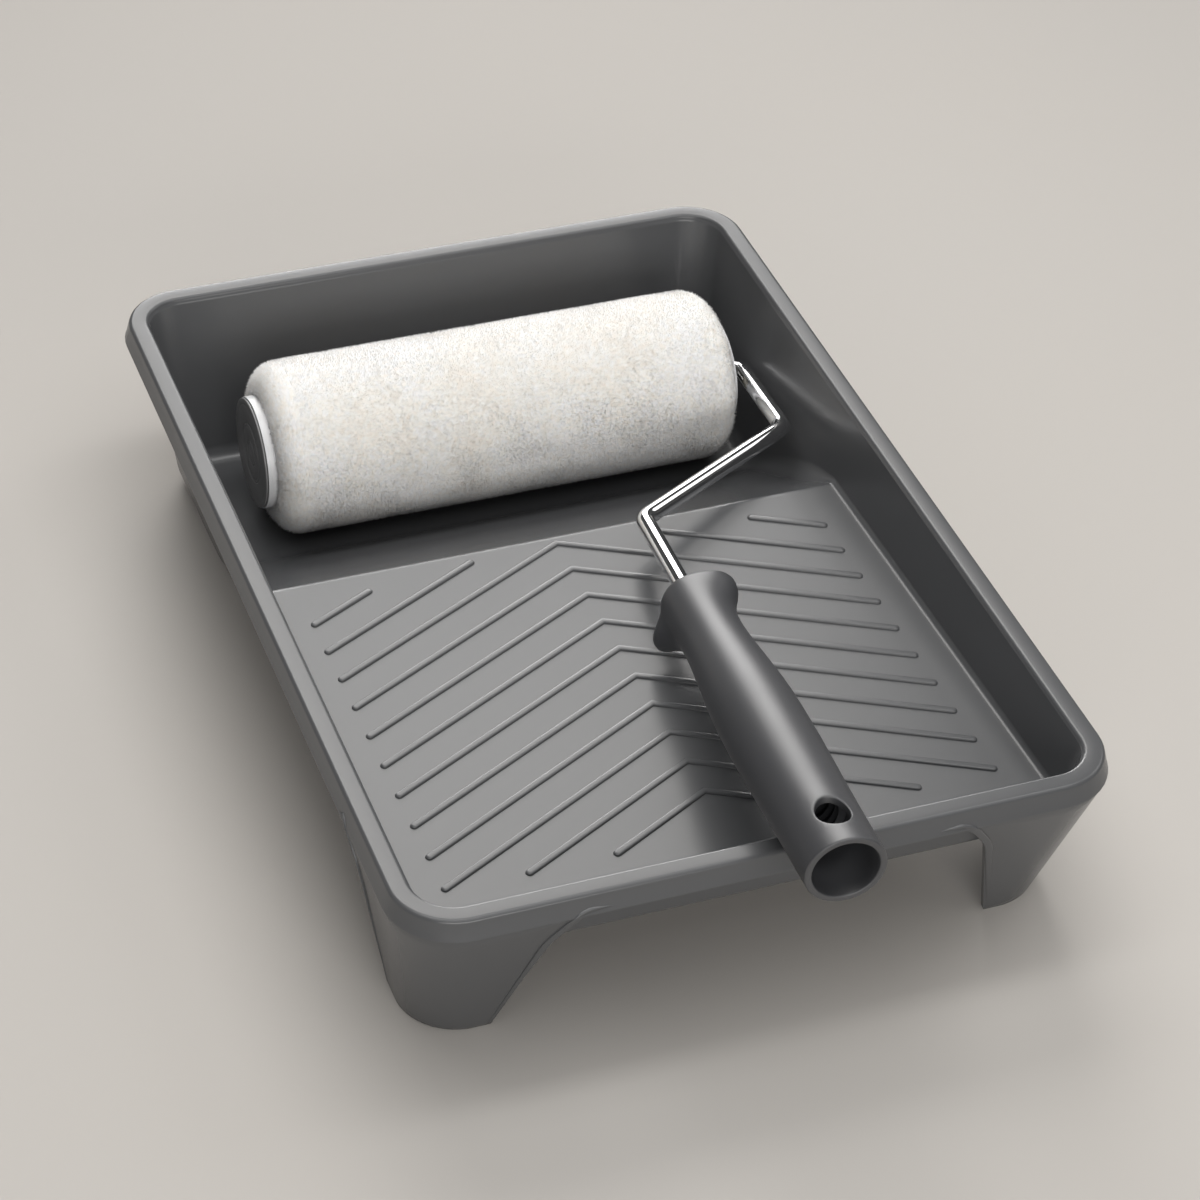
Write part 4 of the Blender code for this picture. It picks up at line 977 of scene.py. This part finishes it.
def build_handle(material):
    """The grip as one closed skin: outside, nose round the rod, rim, socket and hang hole."""
    hole_half = (0.5 * HANG_HOLE_WIDTH, 0.5 * HANG_HOLE_LENGTH)
    zone_half = (hole_half[0] + HOLE_ROUNDING, hole_half[1] + HOLE_ROUNDING)
    last_cell = HOLE_CELLS + HOLE_MARGIN
    step = 1.0 / HOLE_CELLS
    a_lines = [i * step for i in range(-last_cell, last_cell + 1)]
    b_lines = [i * step for i in range(-last_cell, HOLE_CELLS + HOLE_MARGIN_FRONT + 1)]
    hole_s = [HANG_HOLE_S + b * zone_half[1] for b in b_lines]
    stations = [s * MM for s in FRONT_STATIONS] + hole_s
    wide = len(a_lines)
    bottom = wide + SIDE_CELLS - 1      # first column of the bottom's even cells
    count = 2 * bottom
    low, high = HOLE_MARGIN, HOLE_MARGIN + 2 * HOLE_CELLS
    first_row = len(FRONT_STATIONS) + low
    last_row = len(FRONT_STATIONS) + high

    def columns(radius):
        """Angles of the columns: even cells on top, one side, the bottom, the other side."""
        top = [asin(a * zone_half[0] / radius) for a in a_lines]
        edge = top[-1]
        side = [edge + (pi - 2 * edge) * i / SIDE_CELLS for i in range(1, SIDE_CELLS)]
        return [0.5 * pi - t for t in top + side + [pi + t for t in top] + [pi + t for t in side]]

    def surface(radius_at):
        rows = []
        for s in stations:
            ring = []
            b = (s - HANG_HOLE_S) / zone_half[1]
            angles = columns(radius_at(s))
            for c in range(count):
                on_top = c < wide
                local = c if on_top else c - bottom
                where, angle = s, angles[c]
                if s >= hole_s[0] - 1e-9 and 0 <= local < wide:
                    wa, wb = round_the_hole(a_lines[local], b)
                    where = HANG_HOLE_S + wb * zone_half[1]
                    share = min(1.0, abs(wa) * zone_half[0] / radius_at(where))
                    lift = asin(share) * (1 if wa > 0 else -1)
                    angle = 0.5 * pi - lift - (0 if on_top else pi)
                reach = radius_at(where, angle)
                ring.append((reach * cos(angle), reach * sin(angle), where))
            rows.append(ring)
        return rows

    def in_hole(r, c):
        return first_row <= r < last_row and low <= c < high

    outer = surface(outer_radius)
    vertices = [p for ring in outer for p in ring]
    faces = []

    def join(one, other):
        """Faces from one ring to the next, each given by its first vertex."""
        for c in range(count):
            d = (c + 1) % count
            faces.append((one + c, one + d, other + d, other + c))

    for r in range(len(stations) - 1):
        for c in range(count):
            if not in_hole(r, c):
                d = (c + 1) % count
                faces.append((r * count + c, r * count + d, (r + 1) * count + d, (r + 1) * count + c))
    # the nose, closed round the rod
    previous = 0
    for share, back in NOSE_RINGS:
        start = len(vertices)
        for x, y, z in outer[0]:
            factor = share or NOSE_BORE / hypot(x, y)
            vertices.append((x * factor, y * factor, z + back * MM))
        for c in range(count):
            d = (c + 1) % count
            faces.append((previous + c, start + c, start + d, previous + d))
        previous = start
    faces.append(tuple(previous + c for c in range(count)))

    # the open end: a rounded rim, then the socket
    rim = [(RIM_WALL_RADIUS, 1.4 * MM)]
    for k in (0, 22, 45, 68, 90):
        rim.append((RIM_WALL_RADIUS - RIM_LIP + RIM_LIP * cos(radians(k)),
                    RIM_LIP - RIM_LIP * sin(radians(k))))
    for k in (90, 60, 30, 0):
        rim.append((SOCKET_RADIUS + BORE_LIP - BORE_LIP * cos(radians(k)),
                    BORE_LIP - BORE_LIP * sin(radians(k))))
    previous = (len(stations) - 1) * count
    for radius, back in rim:
        start = len(vertices)
        for x, y, _ in outer[-1]:
            size = hypot(x, y)
            x, y = x * radius / size, y * radius / size
            vertices.append((x, y, HANDLE_END_S + HANDLE_END_SLANT * y - back))
        join(previous, start)
        previous = start
    inner_start = len(vertices)
    vertices += [p for ring in surface(socket_radius) for p in ring]
    join(previous, inner_start + (len(stations) - 1) * count)
    deep = next(i for i, s in enumerate(stations) if s >= SOCKET_FLOOR_S - 1e-6)
    for r in range(deep, len(stations) - 1):
        for c in range(count):
            if not in_hole(r, c):
                d = (c + 1) % count
                one, other = inner_start + r * count, inner_start + (r + 1) * count
                faces.append((one + d, one + c, other + c, other + d))
    faces.append(tuple(inner_start + deep * count + c for c in range(count)))

    # the wall of the hang hole, with a rounded edge outside
    loop = [(first_row, c) for c in range(low, high)]
    loop += [(r, high) for r in range(first_row, last_row)]
    loop += [(last_row, c) for c in range(high, low, -1)]
    loop += [(r, low) for r in range(last_row, first_row, -1)]
    rings = [[r * count + c for r, c in loop]]
    edge_steps = [(HOLE_ROUNDING * (1 - sin(radians(k))), HOLE_ROUNDING * (1 - cos(radians(k))))
                  for k in (22, 45, 68, 90)]
    for grow, sunk in edge_steps + [(0.0, None)]:
        across = (hole_half[0] + grow) / zone_half[0]
        along = (hole_half[1] + grow) / zone_half[1]
        ring = []
        for r, c in loop:
            x, _, s = outer[r][c]
            x *= across
            radius = SOCKET_RADIUS if sunk is None else outer_radius(s, 0.5 * pi)
            ring.append(len(vertices))
            vertices.append((x, sqrt(max(0.0, radius**2 - x**2)) - (sunk or 0.0),
                             HANG_HOLE_S + (s - HANG_HOLE_S) * along))
        rings.append(ring)
    rings.append([inner_start + r * count + c for r, c in loop])
    for one, other in zip(rings, rings[1:]):
        for i in range(len(loop)):
            j = (i + 1) % len(loop)
            faces.append((one[i], one[j], other[j], other[i]))
    matrix = handle_axes()
    obj = mesh_object("grip", [matrix @ Vector(v) for v in vertices], faces, material)
    loose = bmesh.new()
    loose.from_mesh(obj.data)
    bmesh.ops.delete(loose, geom=[v for v in loose.verts if not v.link_faces], context="VERTS")
    loose.to_mesh(obj.data)
    loose.free()
    recalculate_normals(obj)
    obj.data.shade_smooth()
    obj.data.set_sharp_from_angle(angle=radians(50.0))
    return obj


# ---------------------------------------------------------------- what a user can change

def length_setting(name, description, value_mm, least_mm):
    """A length that a user can change, given in millimetres."""
    return bpy.props.FloatProperty(name=name, description=description, default=value_mm * MM,
                                   min=least_mm * MM, unit="LENGTH")


def share_setting(name, description, value):
    """A share from 0 to 1 that a user can change."""
    return bpy.props.FloatProperty(name=name, description=description, default=value,
                                   min=0.0, max=1.0, subtype="FACTOR")


def colour_setting(name, description, code):
    """A colour that a user can change, given as a hex code."""
    return bpy.props.FloatVectorProperty(name=name, description=description, size=4,
                                         default=srgb(code), min=0.0, max=1.0, subtype="COLOR")


class TraySizes(bpy.types.PropertyGroup):
    rim_edge: length_setting("Rim Edge Radius", "Rounding of the rim's outer edge", 1.9, 0.2)
    well_fillet: length_setting("Well Fillet", "Rounding between the well's floor and walls",
                                6.0, 0.5)
    bed_fillet: length_setting("Bed Fillet", "Rounding between the bed and the walls", 2.6, 0.5)
    slope_fillet: length_setting("Slope Fillet", "Rounding between the slope and the walls",
                                 10.0, 0.5)
    crease_radius: length_setting("Crease Radius", "Rounding where the slope meets the bed",
                                  5.0, 0.2)
    rib_width: length_setting("Rib Width", "Width of each rib on the bed", 3.4, 0.5)
    rib_height: length_setting("Rib Height", "How far a rib stands above the bed", 0.95, 0.2)
    lip_width: length_setting("Arch Lip Width", "Width of the lip along the legs' arches", 3.2, 0.5)
    colour: colour_setting("Tray Colour", "Colour of the tray's plastic", "545557")
    roughness: share_setting("Tray Roughness", "How dull the tray's plastic is", 0.26)


class RollerSizes(bpy.types.PropertyGroup):
    tufts: bpy.props.IntProperty(name="Tufts", description="Tufts in each of the pile's layers",
                                 default=47500, min=100, max=49000)
    layers: bpy.props.IntProperty(name="Layers", description="Layers of tufts, each its own piece",
                                  default=5, min=1, max=6)
    tuft_length: length_setting("Tuft Length", "Length of a tuft from its root", 2.5, 0.5)
    tuft_width: length_setting("Tuft Width", "Width of a tuft at its root", 0.55, 0.05)
    root_inset: length_setting("Root Depth", "Depth of the tufts' roots below the pile's surface",
                               2.3, 0.1)
    body_inset: length_setting("Body Depth", "Depth of the soft body below the pile's surface",
                               1.0, 0.1)
    lean: bpy.props.FloatProperty(name="Lean", description="How far the tufts lie over",
                                  default=0.7, min=0.0, max=3.0)
    # both pile colours are mixed over random clumpy patches of noise; neither follows the tips or the
    # hollows
    colour: colour_setting("Pile Colour", "Colour of the pile's tips", "fdfcfa")
    shade: colour_setting("Pile Shade", "Warmer colour in the pile's hollows", "f7f0e8")


class HandleSizes(bpy.types.PropertyGroup):
    colour: colour_setting("Grip Colour", "Colour of the grip's plastic", "3f4043")
    roughness: share_setting("Grip Roughness", "How dull the grip's plastic is", 0.45)


class StageSizes(bpy.types.PropertyGroup):
    floor_colour: colour_setting("Floor Colour", "Colour of the studio floor", "bbb8b4")


# ---------------------------------------------------------------- operators

class MakeTray(bpy.types.Operator):
    """Mould the tray: basin, rim and skirt as one skin, the corner legs, and the ribs"""
    bl_idname = "roller_tray.make_tray"
    bl_label = "Make Tray"

    def execute(self, context):
        sizes = context.scene.tray_sizes
        plastic = moulded_plastic("moulded grey polypropylene", tuple(sizes.colour),
                                  sizes.roughness, 0.5, 0.0015, mottle=0.03)
        vertices, faces = tray_skin(sizes)
        tray = mesh_object("tray_moulding", vertices, faces, plastic)
        recalculate_normals(tray)
        finish_piece(tray, "tray", ("tray_shell",))

        legs = leg_sheet("tray_legs", plastic)
        wall = legs.modifiers.new("wall", "SOLIDIFY")
        wall.thickness = LEG_WALL
        wall.offset = -1.0
        wall.use_even_offset = True
        edge = legs.modifiers.new("edge", "BEVEL")
        edge.width = 0.3 * MM
        edge.segments = 2
        edge.limit_method = "ANGLE"
        edge.angle_limit = radians(50.0)
        as_plain_mesh(legs)
        finish_piece(legs, "tray", ("tray_shell",))

        tree = bead_tree()
        ribs = line_object("bed_ribs", [with_round_ends(line, 1.6 * MM) for line in rib_lines()])
        run_tree(ribs, tree, {"Width": sizes.rib_width, "Height": 2 * sizes.rib_height,
                              "Edge Radius": 0.95 * sizes.rib_height, "End Rounding": 1.6 * MM,
                              "Normal": (0.0, BED_FALL, 1.0), "Material": plastic})
        finish_piece(ribs, "tray", ("tray_shell",))

        for number, (line, normal) in enumerate(lip_lines(), 1):
            lip = line_object(f"arch_lip_{number}", [line])
            run_tree(lip, tree, {"Width": sizes.lip_width, "Height": 1.6 * MM,
                                 "Edge Radius": 0.5 * MM, "End Rounding": 0.05 * MM,
                                 "Normal": normal, "Material": plastic})
            finish_piece(lip, "tray")
        return {"FINISHED"}


class MakeSleeve(bpy.types.Operator):
    """Grow the roller's plush sleeve: a soft body under several layers of leaning tufts"""
    bl_idname = "roller_tray.make_sleeve"
    bl_label = "Make Sleeve"

    def execute(self, context):
        sizes = context.scene.roller_sizes
        pile = knitted_pile("knitted polyester pile", tuple(sizes.colour), tuple(sizes.shade))
        body_line = pile_outline(sizes.body_inset)
        bore = CORE_BORE + 0.1 * MM
        inner = [(bore, PILE_START_X + 1.5 * MM), (bore, PILE_END_X - 1.5 * MM)]
        body = turned("sleeve_body", body_line + inner, pile, 240)
        ruffle(body)
        finish_piece(body, "roller", ("sleeve_pile",))
        tree = tuft_tree()
        tuft = tuft_shape(sizes.tuft_length, sizes.tuft_width)
        for layer in range(sizes.layers):
            ground = turned(f"sleeve_tufts_{layer + 1}", pile_outline(sizes.root_inset), pile,
                            128)
            open_ground(ground)
            ruffle(ground)
            area = sum(face.area for face in ground.data.polygons)
            run_tree(ground, tree, {"Tuft": tuft, "Tufts per Area": sizes.tufts / area,
                                    "Lean": sizes.lean, "Swirl Size": 0.018, "Seed": 3 + layer,
                                    "Material": pile})
            shear(ground)
            lay_normals(ground)
            finish_piece(ground, "roller", ("sleeve_pile",))
        bpy.data.objects.remove(tuft, do_unlink=True)
        return {"FINISHED"}


def pile_normals(points):
    """Directions straight out of the pile's surface near each point."""
    out = points - np.array(AXLE)
    middle = 0.5 * (PILE_START_X + PILE_END_X)
    half = 0.5 * (PILE_END_X - PILE_START_X) - PILE_SHOULDER_LENGTH
    past = np.abs(points[:, 0] - middle) - half
    out[:, 0] = 0.0
    out /= np.maximum(np.linalg.norm(out, axis=1), 1e-6)[:, None]
    share = np.clip(past / PILE_SHOULDER_LENGTH, 0.0, 1.0)
    out[:, 0] = np.sign(points[:, 0] - middle) * share ** 2 * 1.6
    return out / np.linalg.norm(out, axis=1)[:, None]


def points_of(mesh):
    """A mesh's points as one array."""
    points = np.empty(3 * len(mesh.vertices))
    mesh.vertices.foreach_get("co", points)
    return points.reshape(-1, 3)


def ruffle(obj):
    """Raise and lower the pile in soft clumps."""
    points = points_of(obj.data)
    moved = points.copy()
    reach = np.hypot(points[:, 1] - AXLE.y, points[:, 2] - AXLE.z)
    normals = pile_normals(points)
    for i, point in enumerate(points):
        if reach[i] > CORE_BORE + 0.5 * MM:
            lift = (noise.noise(Vector(point) / (9.0 * MM)) * 0.22
                    + noise.noise(Vector(point) / (3.2 * MM)) * 0.14)
            moved[i] += normals[i] * lift * MM
    obj.data.vertices.foreach_set("co", moved.ravel())
    obj.data.update()


def shear(obj):
    """Crop the pile to an even height, as its knitting machine leaves it."""
    points = points_of(obj.data)
    across = points[:, 1:] - np.array((AXLE.y, AXLE.z))
    reach = np.linalg.norm(across, axis=1)
    keep = np.minimum(1.0, (PILE_RADIUS + PILE_NAP) / reach)
    points[:, 1:] = np.array((AXLE.y, AXLE.z)) + across * keep[:, None]
    points[:, 0] = np.clip(points[:, 0], PILE_START_X - 2 * PILE_NAP,
                           PILE_END_X + 2 * PILE_NAP)
    obj.data.vertices.foreach_set("co", points.ravel())
    obj.data.update()


def lay_normals(obj):
    """Shade each tuft mostly like the pile's surface, as a dense pile scatters its light."""
    mesh = obj.data
    mesh.shade_smooth()
    own = np.empty(3 * len(mesh.vertices))
    mesh.vertex_normals.foreach_get("vector", own)
    mixed = pile_normals(points_of(mesh)) + 0.3 * own.reshape(-1, 3)
    mixed /= np.linalg.norm(mixed, axis=1)[:, None]
    mesh.normals_split_custom_set_from_vertices(mixed.tolist())


def open_ground(obj):
    """Keep only the outer side of a turned outline, for tufts to stand on."""
    work = bmesh.new()
    work.from_mesh(obj.data)
    low = PILE_RADIUS - PILE_SHOULDER_DROP - 3.5 * MM
    gone = [f for f in work.faces if hypot(f.calc_center_median().y - AXLE.y,
                                           f.calc_center_median().z - AXLE.z) < low]
    bmesh.ops.delete(work, geom=gone, context="FACES")
    work.to_mesh(obj.data)
    work.free()


class MakeCaps(bpy.types.Operator):
    """Turn the end caps and the ringed cover of the roller"""
    bl_idname = "roller_tray.make_caps"
    bl_label = "Make End Caps"

    def execute(self, context):
        cap_plastic = moulded_plastic("moulded light grey polypropylene", srgb("e2e3e5"),
                                      0.33, 0.4, 0.003)
        cover_plastic = moulded_plastic("moulded dark grey polypropylene", srgb("828283"),
                                        0.36, 0.4, 0.003)
        face = OUTER_CAP_FACE_X
        seat = face + 1.9 * MM
        outer = [
            (CAP_BARREL_RADIUS, face + CAP_DEPTH), (CAP_BARREL_RADIUS, face + 7.6 * MM),
            (CAP_RADIUS, face + 7.6 * MM), (CAP_RADIUS, seat - 0.7 * MM),
            (COVER_RADIUS - 0.2 * MM, seat - 0.7 * MM), (COVER_RADIUS - 0.8 * MM, seat),
            (14.0 * MM, seat), (14.0 * MM, face + 9.0 * MM), (8.3 * MM, face + 9.0 * MM),
            (8.3 * MM, face + CAP_DEPTH),
        ]
        cap = turned("outer_cap", soften(outer, 0.5 * MM), cap_plastic)
        finish_piece(cap, "roller", ("outer_end_cap",))

        edge = COVER_RADIUS
        cover = [(0.0, seat - 0.3 * MM), (edge - 1.1 * MM, seat - 0.3 * MM),
                 (edge - 0.5 * MM, seat - 1.0 * MM), (edge, seat - 1.0 * MM),
                 (edge, face + 0.1 * MM)]
        for ring, depth in ((21.6, 0.10), (13.2, 0.28), (12.0, 0.14), (5.6, 0.28), (4.4, 0.14)):
            cover += [((ring + 0.45) * MM, face + 0.1 * MM), (ring * MM, face + (0.1 + depth) * MM),
                      ((ring - 0.45) * MM, face + 0.1 * MM)]
        cover += [(0.0, face + 0.1 * MM)]
        disc = turned("outer_cover", soften(cover, 0.35 * MM, 2), cover_plastic)
        finish_piece(disc, "roller", ("outer_cap_cover",))

        face = INNER_CAP_FACE_X
        inner = [
            (8.3 * MM, face - 2.6 * MM), (12.0 * MM, face - 2.6 * MM), (13.5 * MM, face),
            (CAP_RADIUS, face), (CAP_RADIUS, face - 3.2 * MM), (CAP_BARREL_RADIUS, face - 3.2 * MM),
            (CAP_BARREL_RADIUS, face - CAP_DEPTH), (8.3 * MM, face - CAP_DEPTH),
        ]
        cap = turned("inner_cap", soften(inner, 0.8 * MM), cap_plastic)
        finish_piece(cap, "roller", ("inner_end_cap",))
        return {"FINISHED"}


class MakeFrame(bpy.types.Operator):
    """Bend the chromed rod that carries the roller and ends inside the handle"""
    bl_idname = "roller_tray.make_frame"
    bl_label = "Make Frame"

    def execute(self, context):
        chrome = bright_metal("bright chromed steel", srgb("e9e9ea"), 0.05, 0.05)
        corners = [in_plane(ROD_START_X, 0.0)] + [in_plane(x, t) for x, t, _ in ROD_CORNERS]
        corners.append(in_plane(handle_axis_x(ROD_END_T), ROD_END_T))
        path = rounded_line(corners, [r for _, _, r in ROD_CORNERS], 16)
        rod = swept_tube("bent_rod", path, ROD_RADIUS, chrome)
        finish_piece(rod, "frame", ("frame_rod",))
        return {"FINISHED"}


class MakeHandle(bpy.types.Operator):
    """Mould the hollow grip with its collar, finger guard, hang hole and open socket"""
    bl_idname = "roller_tray.make_handle"
    bl_label = "Make Handle"

    def execute(self, context):
        sizes = context.scene.handle_sizes
        plastic = moulded_plastic("moulded charcoal polypropylene", tuple(sizes.colour),
                                  sizes.roughness, 0.35, 0.004, specular=0.9)
        grip = build_handle(plastic)
        finish_piece(grip, "frame", ("handle_grip",))
        return {"FINISHED"}


class FinishHardware(bpy.types.Operator):
    """Give the cage, bushes, washers, core and thread insert their real materials"""
    bl_idname = "roller_tray.finish_hardware"
    bl_label = "Finish Hardware"

    def execute(self, context):
        steel = bright_metal("drawn spring steel", srgb("b9b8b4"), 0.22, 0.12)
        natural = moulded_plastic("natural nylon", srgb("dcd8cb"), 0.36, 0.3, 0.006, 0.03)
        black = moulded_plastic("black nylon", srgb("303134"), 0.42, 0.3, 0.006)
        core = moulded_plastic("extruded pale polypropylene", srgb("cfd1cf"), 0.34, 0.5, 0.006, 0.03)
        dressed = {
            "sleeve_core": core, "cage_spider_1": core, "cage_spider_2": core,
            "outer_bearing": natural, "inner_bearing": natural, "pole_thread_insert": black,
            "outer_washer": steel, "inner_washer": steel, "push_nut": steel,
        }
        for number in range(1, 6):
            dressed[f"cage_wire_{number}"] = steel
        for name, material in dressed.items():
            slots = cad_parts[name].material_slots
            if not slots:
                raise RuntimeError(f"{name} has no material slot")
            for slot in slots:
                slot.material = material
        return {"FINISHED"}


class MakeStage(bpy.types.Operator):
    """Lay the studio floor, set the camera and hang the soft lights"""
    bl_idname = "roller_tray.make_stage"
    bl_label = "Make Stage"

    def execute(self, context):
        scene = context.scene
        material, tree, shader = new_material("matt studio paper")
        place = node(tree, "ShaderNodeTexCoord").outputs["Object"]
        cloud = node(tree, "ShaderNodeTexNoise", {"Vector": place, "Scale": 3.0, "Detail": 2.0})
        base = tuple(scene.stage_sizes.floor_colour)
        warm = (base[0] * 1.015, base[1], base[2] * 0.985, 1.0)
        tone = node(tree, "ShaderNodeMix", {"Factor": cloud.outputs["Fac"], "A": base, "B": warm},
                    data_type="RGBA")
        tree.links.new(tone.outputs["Result"], shader.inputs["Base Color"])
        shader.inputs["Roughness"].default_value = 0.9
        shader.inputs["Specular IOR Level"].default_value = 0.2
        size = 6.0
        corners = ((-1, -1), (1, -1), (1, 1), (-1, 1))
        floor = mesh_object("studio_floor", [(x * size, y * size, -0.3 * MM) for x, y in corners],
                            [(0, 1, 2, 3)], material)

        back = Vector((sin(VIEW_AZIMUTH) * cos(VIEW_ELEVATION),
                       -cos(VIEW_AZIMUTH) * cos(VIEW_ELEVATION), sin(VIEW_ELEVATION)))
        right = (-back).cross(Vector((0, 0, 1))).normalized()
        up = right.cross(-back)
        cam_x = right * cos(VIEW_ROLL) + up * sin(VIEW_ROLL)
        cam_y = up * cos(VIEW_ROLL) - right * sin(VIEW_ROLL)
        data = bpy.data.cameras.new("camera")
        data.lens = VIEW_LENS
        data.sensor_width = 36.0
        data.clip_end = 50.0
        camera = bpy.data.objects.new("camera", data)
        matrix = Matrix((cam_x, cam_y, back)).transposed().to_4x4()
        matrix.translation = VIEW_TARGET + back * VIEW_DISTANCE
        camera.matrix_world = matrix
        scene.collection.objects.link(camera)
        scene.camera = camera

        def softbox(name, place, size_x, size_y, power, colour, aim=VIEW_TARGET, spread=180.0):
            light = bpy.data.lights.new(name, "AREA")
            light.shape = "RECTANGLE"
            light.size, light.size_y = size_x, size_y
            light.energy = power
            light.color = colour
            light.spread = radians(spread)
            obj = bpy.data.objects.new(name, light)
            obj.location = place
            obj.rotation_euler = (aim - Vector(place)).to_track_quat("-Z", "Y").to_euler()
            scene.collection.objects.link(obj)

        softbox("overhead_softbox", (0.05, -0.72, 1.80), 2.2, 2.2, 21.5, (1.0, 0.99, 0.975),
                aim=Vector((0.05, -0.72, 0.0)))
        softbox("overhead_strip", (0.1, -0.05, 1.70), 1.8, 0.30, 6.0, (1.0, 0.995, 0.985),
                aim=Vector((0.1, -0.05, 0.0)))
        softbox("mirror_softbox", (0.20, 1.40, 1.73), 1.44, 0.95, 3.4, (1.0, 0.975, 0.945),
                spread=70.0)
        softbox("back_softbox", (0.50, 1.93, 0.80), 1.1, 0.85, 2.9, (1.0, 0.99, 0.98),
                spread=60.0)
        softbox("key_softbox", (1.70, 0.25, 1.50), 1.3, 0.8, 6.0, (1.0, 0.99, 0.975))
        softbox("front_fill", (-0.30, -1.80, 0.60), 1.5, 0.6, 14.0, (1.0, 0.98, 0.955))
        world = bpy.data.worlds.new("studio")
        scene.world = world
        world.use_nodes = True
        background = world.node_tree.nodes["Background"]
        background.inputs["Color"].default_value = (1.0, 0.992, 0.98, 1.0)
        background.inputs["Strength"].default_value = 0.07
        scene.view_settings.view_transform = "Standard"
        return {"FINISHED"}


class TrayPanel(bpy.types.Panel):
    """Sizes, colours and steps of the roller tray"""
    bl_label = "Roller Tray"
    bl_idname = "VIEW3D_PT_roller_tray"
    bl_space_type = "VIEW_3D"
    bl_region_type = "UI"
    bl_category = "Roller Tray"

    def draw(self, context):
        layout = self.layout
        for name, group, steps in GROUPS:
            box = layout.box()
            box.label(text=name)
            settings = getattr(context.scene, group)
            for prop in settings.bl_rna.properties:
                if prop.identifier not in ("rna_type", "name"):
                    box.prop(settings, prop.identifier)
            for step in steps:
                box.operator(step.bl_idname)


GROUPS = (
    ("Tray", "tray_sizes", (MakeTray,)),
    ("Roller", "roller_sizes", (MakeSleeve, MakeCaps)),
    ("Frame", "handle_sizes", (MakeFrame, MakeHandle, FinishHardware)),
    ("Stage", "stage_sizes", (MakeStage,)),
)
SETTINGS = {"tray_sizes": TraySizes, "roller_sizes": RollerSizes, "handle_sizes": HandleSizes,
            "stage_sizes": StageSizes}
CLASSES = (*SETTINGS.values(), *(step for _, _, steps in GROUPS for step in steps), TrayPanel)


def register():
    """Add the settings, the operators and the panel."""
    for cls in CLASSES:
        bpy.utils.register_class(cls)
    for name, group in SETTINGS.items():
        setattr(bpy.types.Scene, name, bpy.props.PointerProperty(type=group))


def unregister():
    """Take them away again."""
    for name in SETTINGS:
        delattr(bpy.types.Scene, name)
    for cls in reversed(CLASSES):
        bpy.utils.unregister_class(cls)


def main():
    """Build the whole scene, the way the panel's steps do."""
    register()
    bpy.ops.roller_tray.make_stage()
    bpy.ops.roller_tray.make_tray()
    bpy.ops.roller_tray.make_sleeve()
    bpy.ops.roller_tray.make_caps()
    bpy.ops.roller_tray.make_frame()
    bpy.ops.roller_tray.make_handle()
    bpy.ops.roller_tray.finish_hardware()


if __name__ == "__main__":
    main()
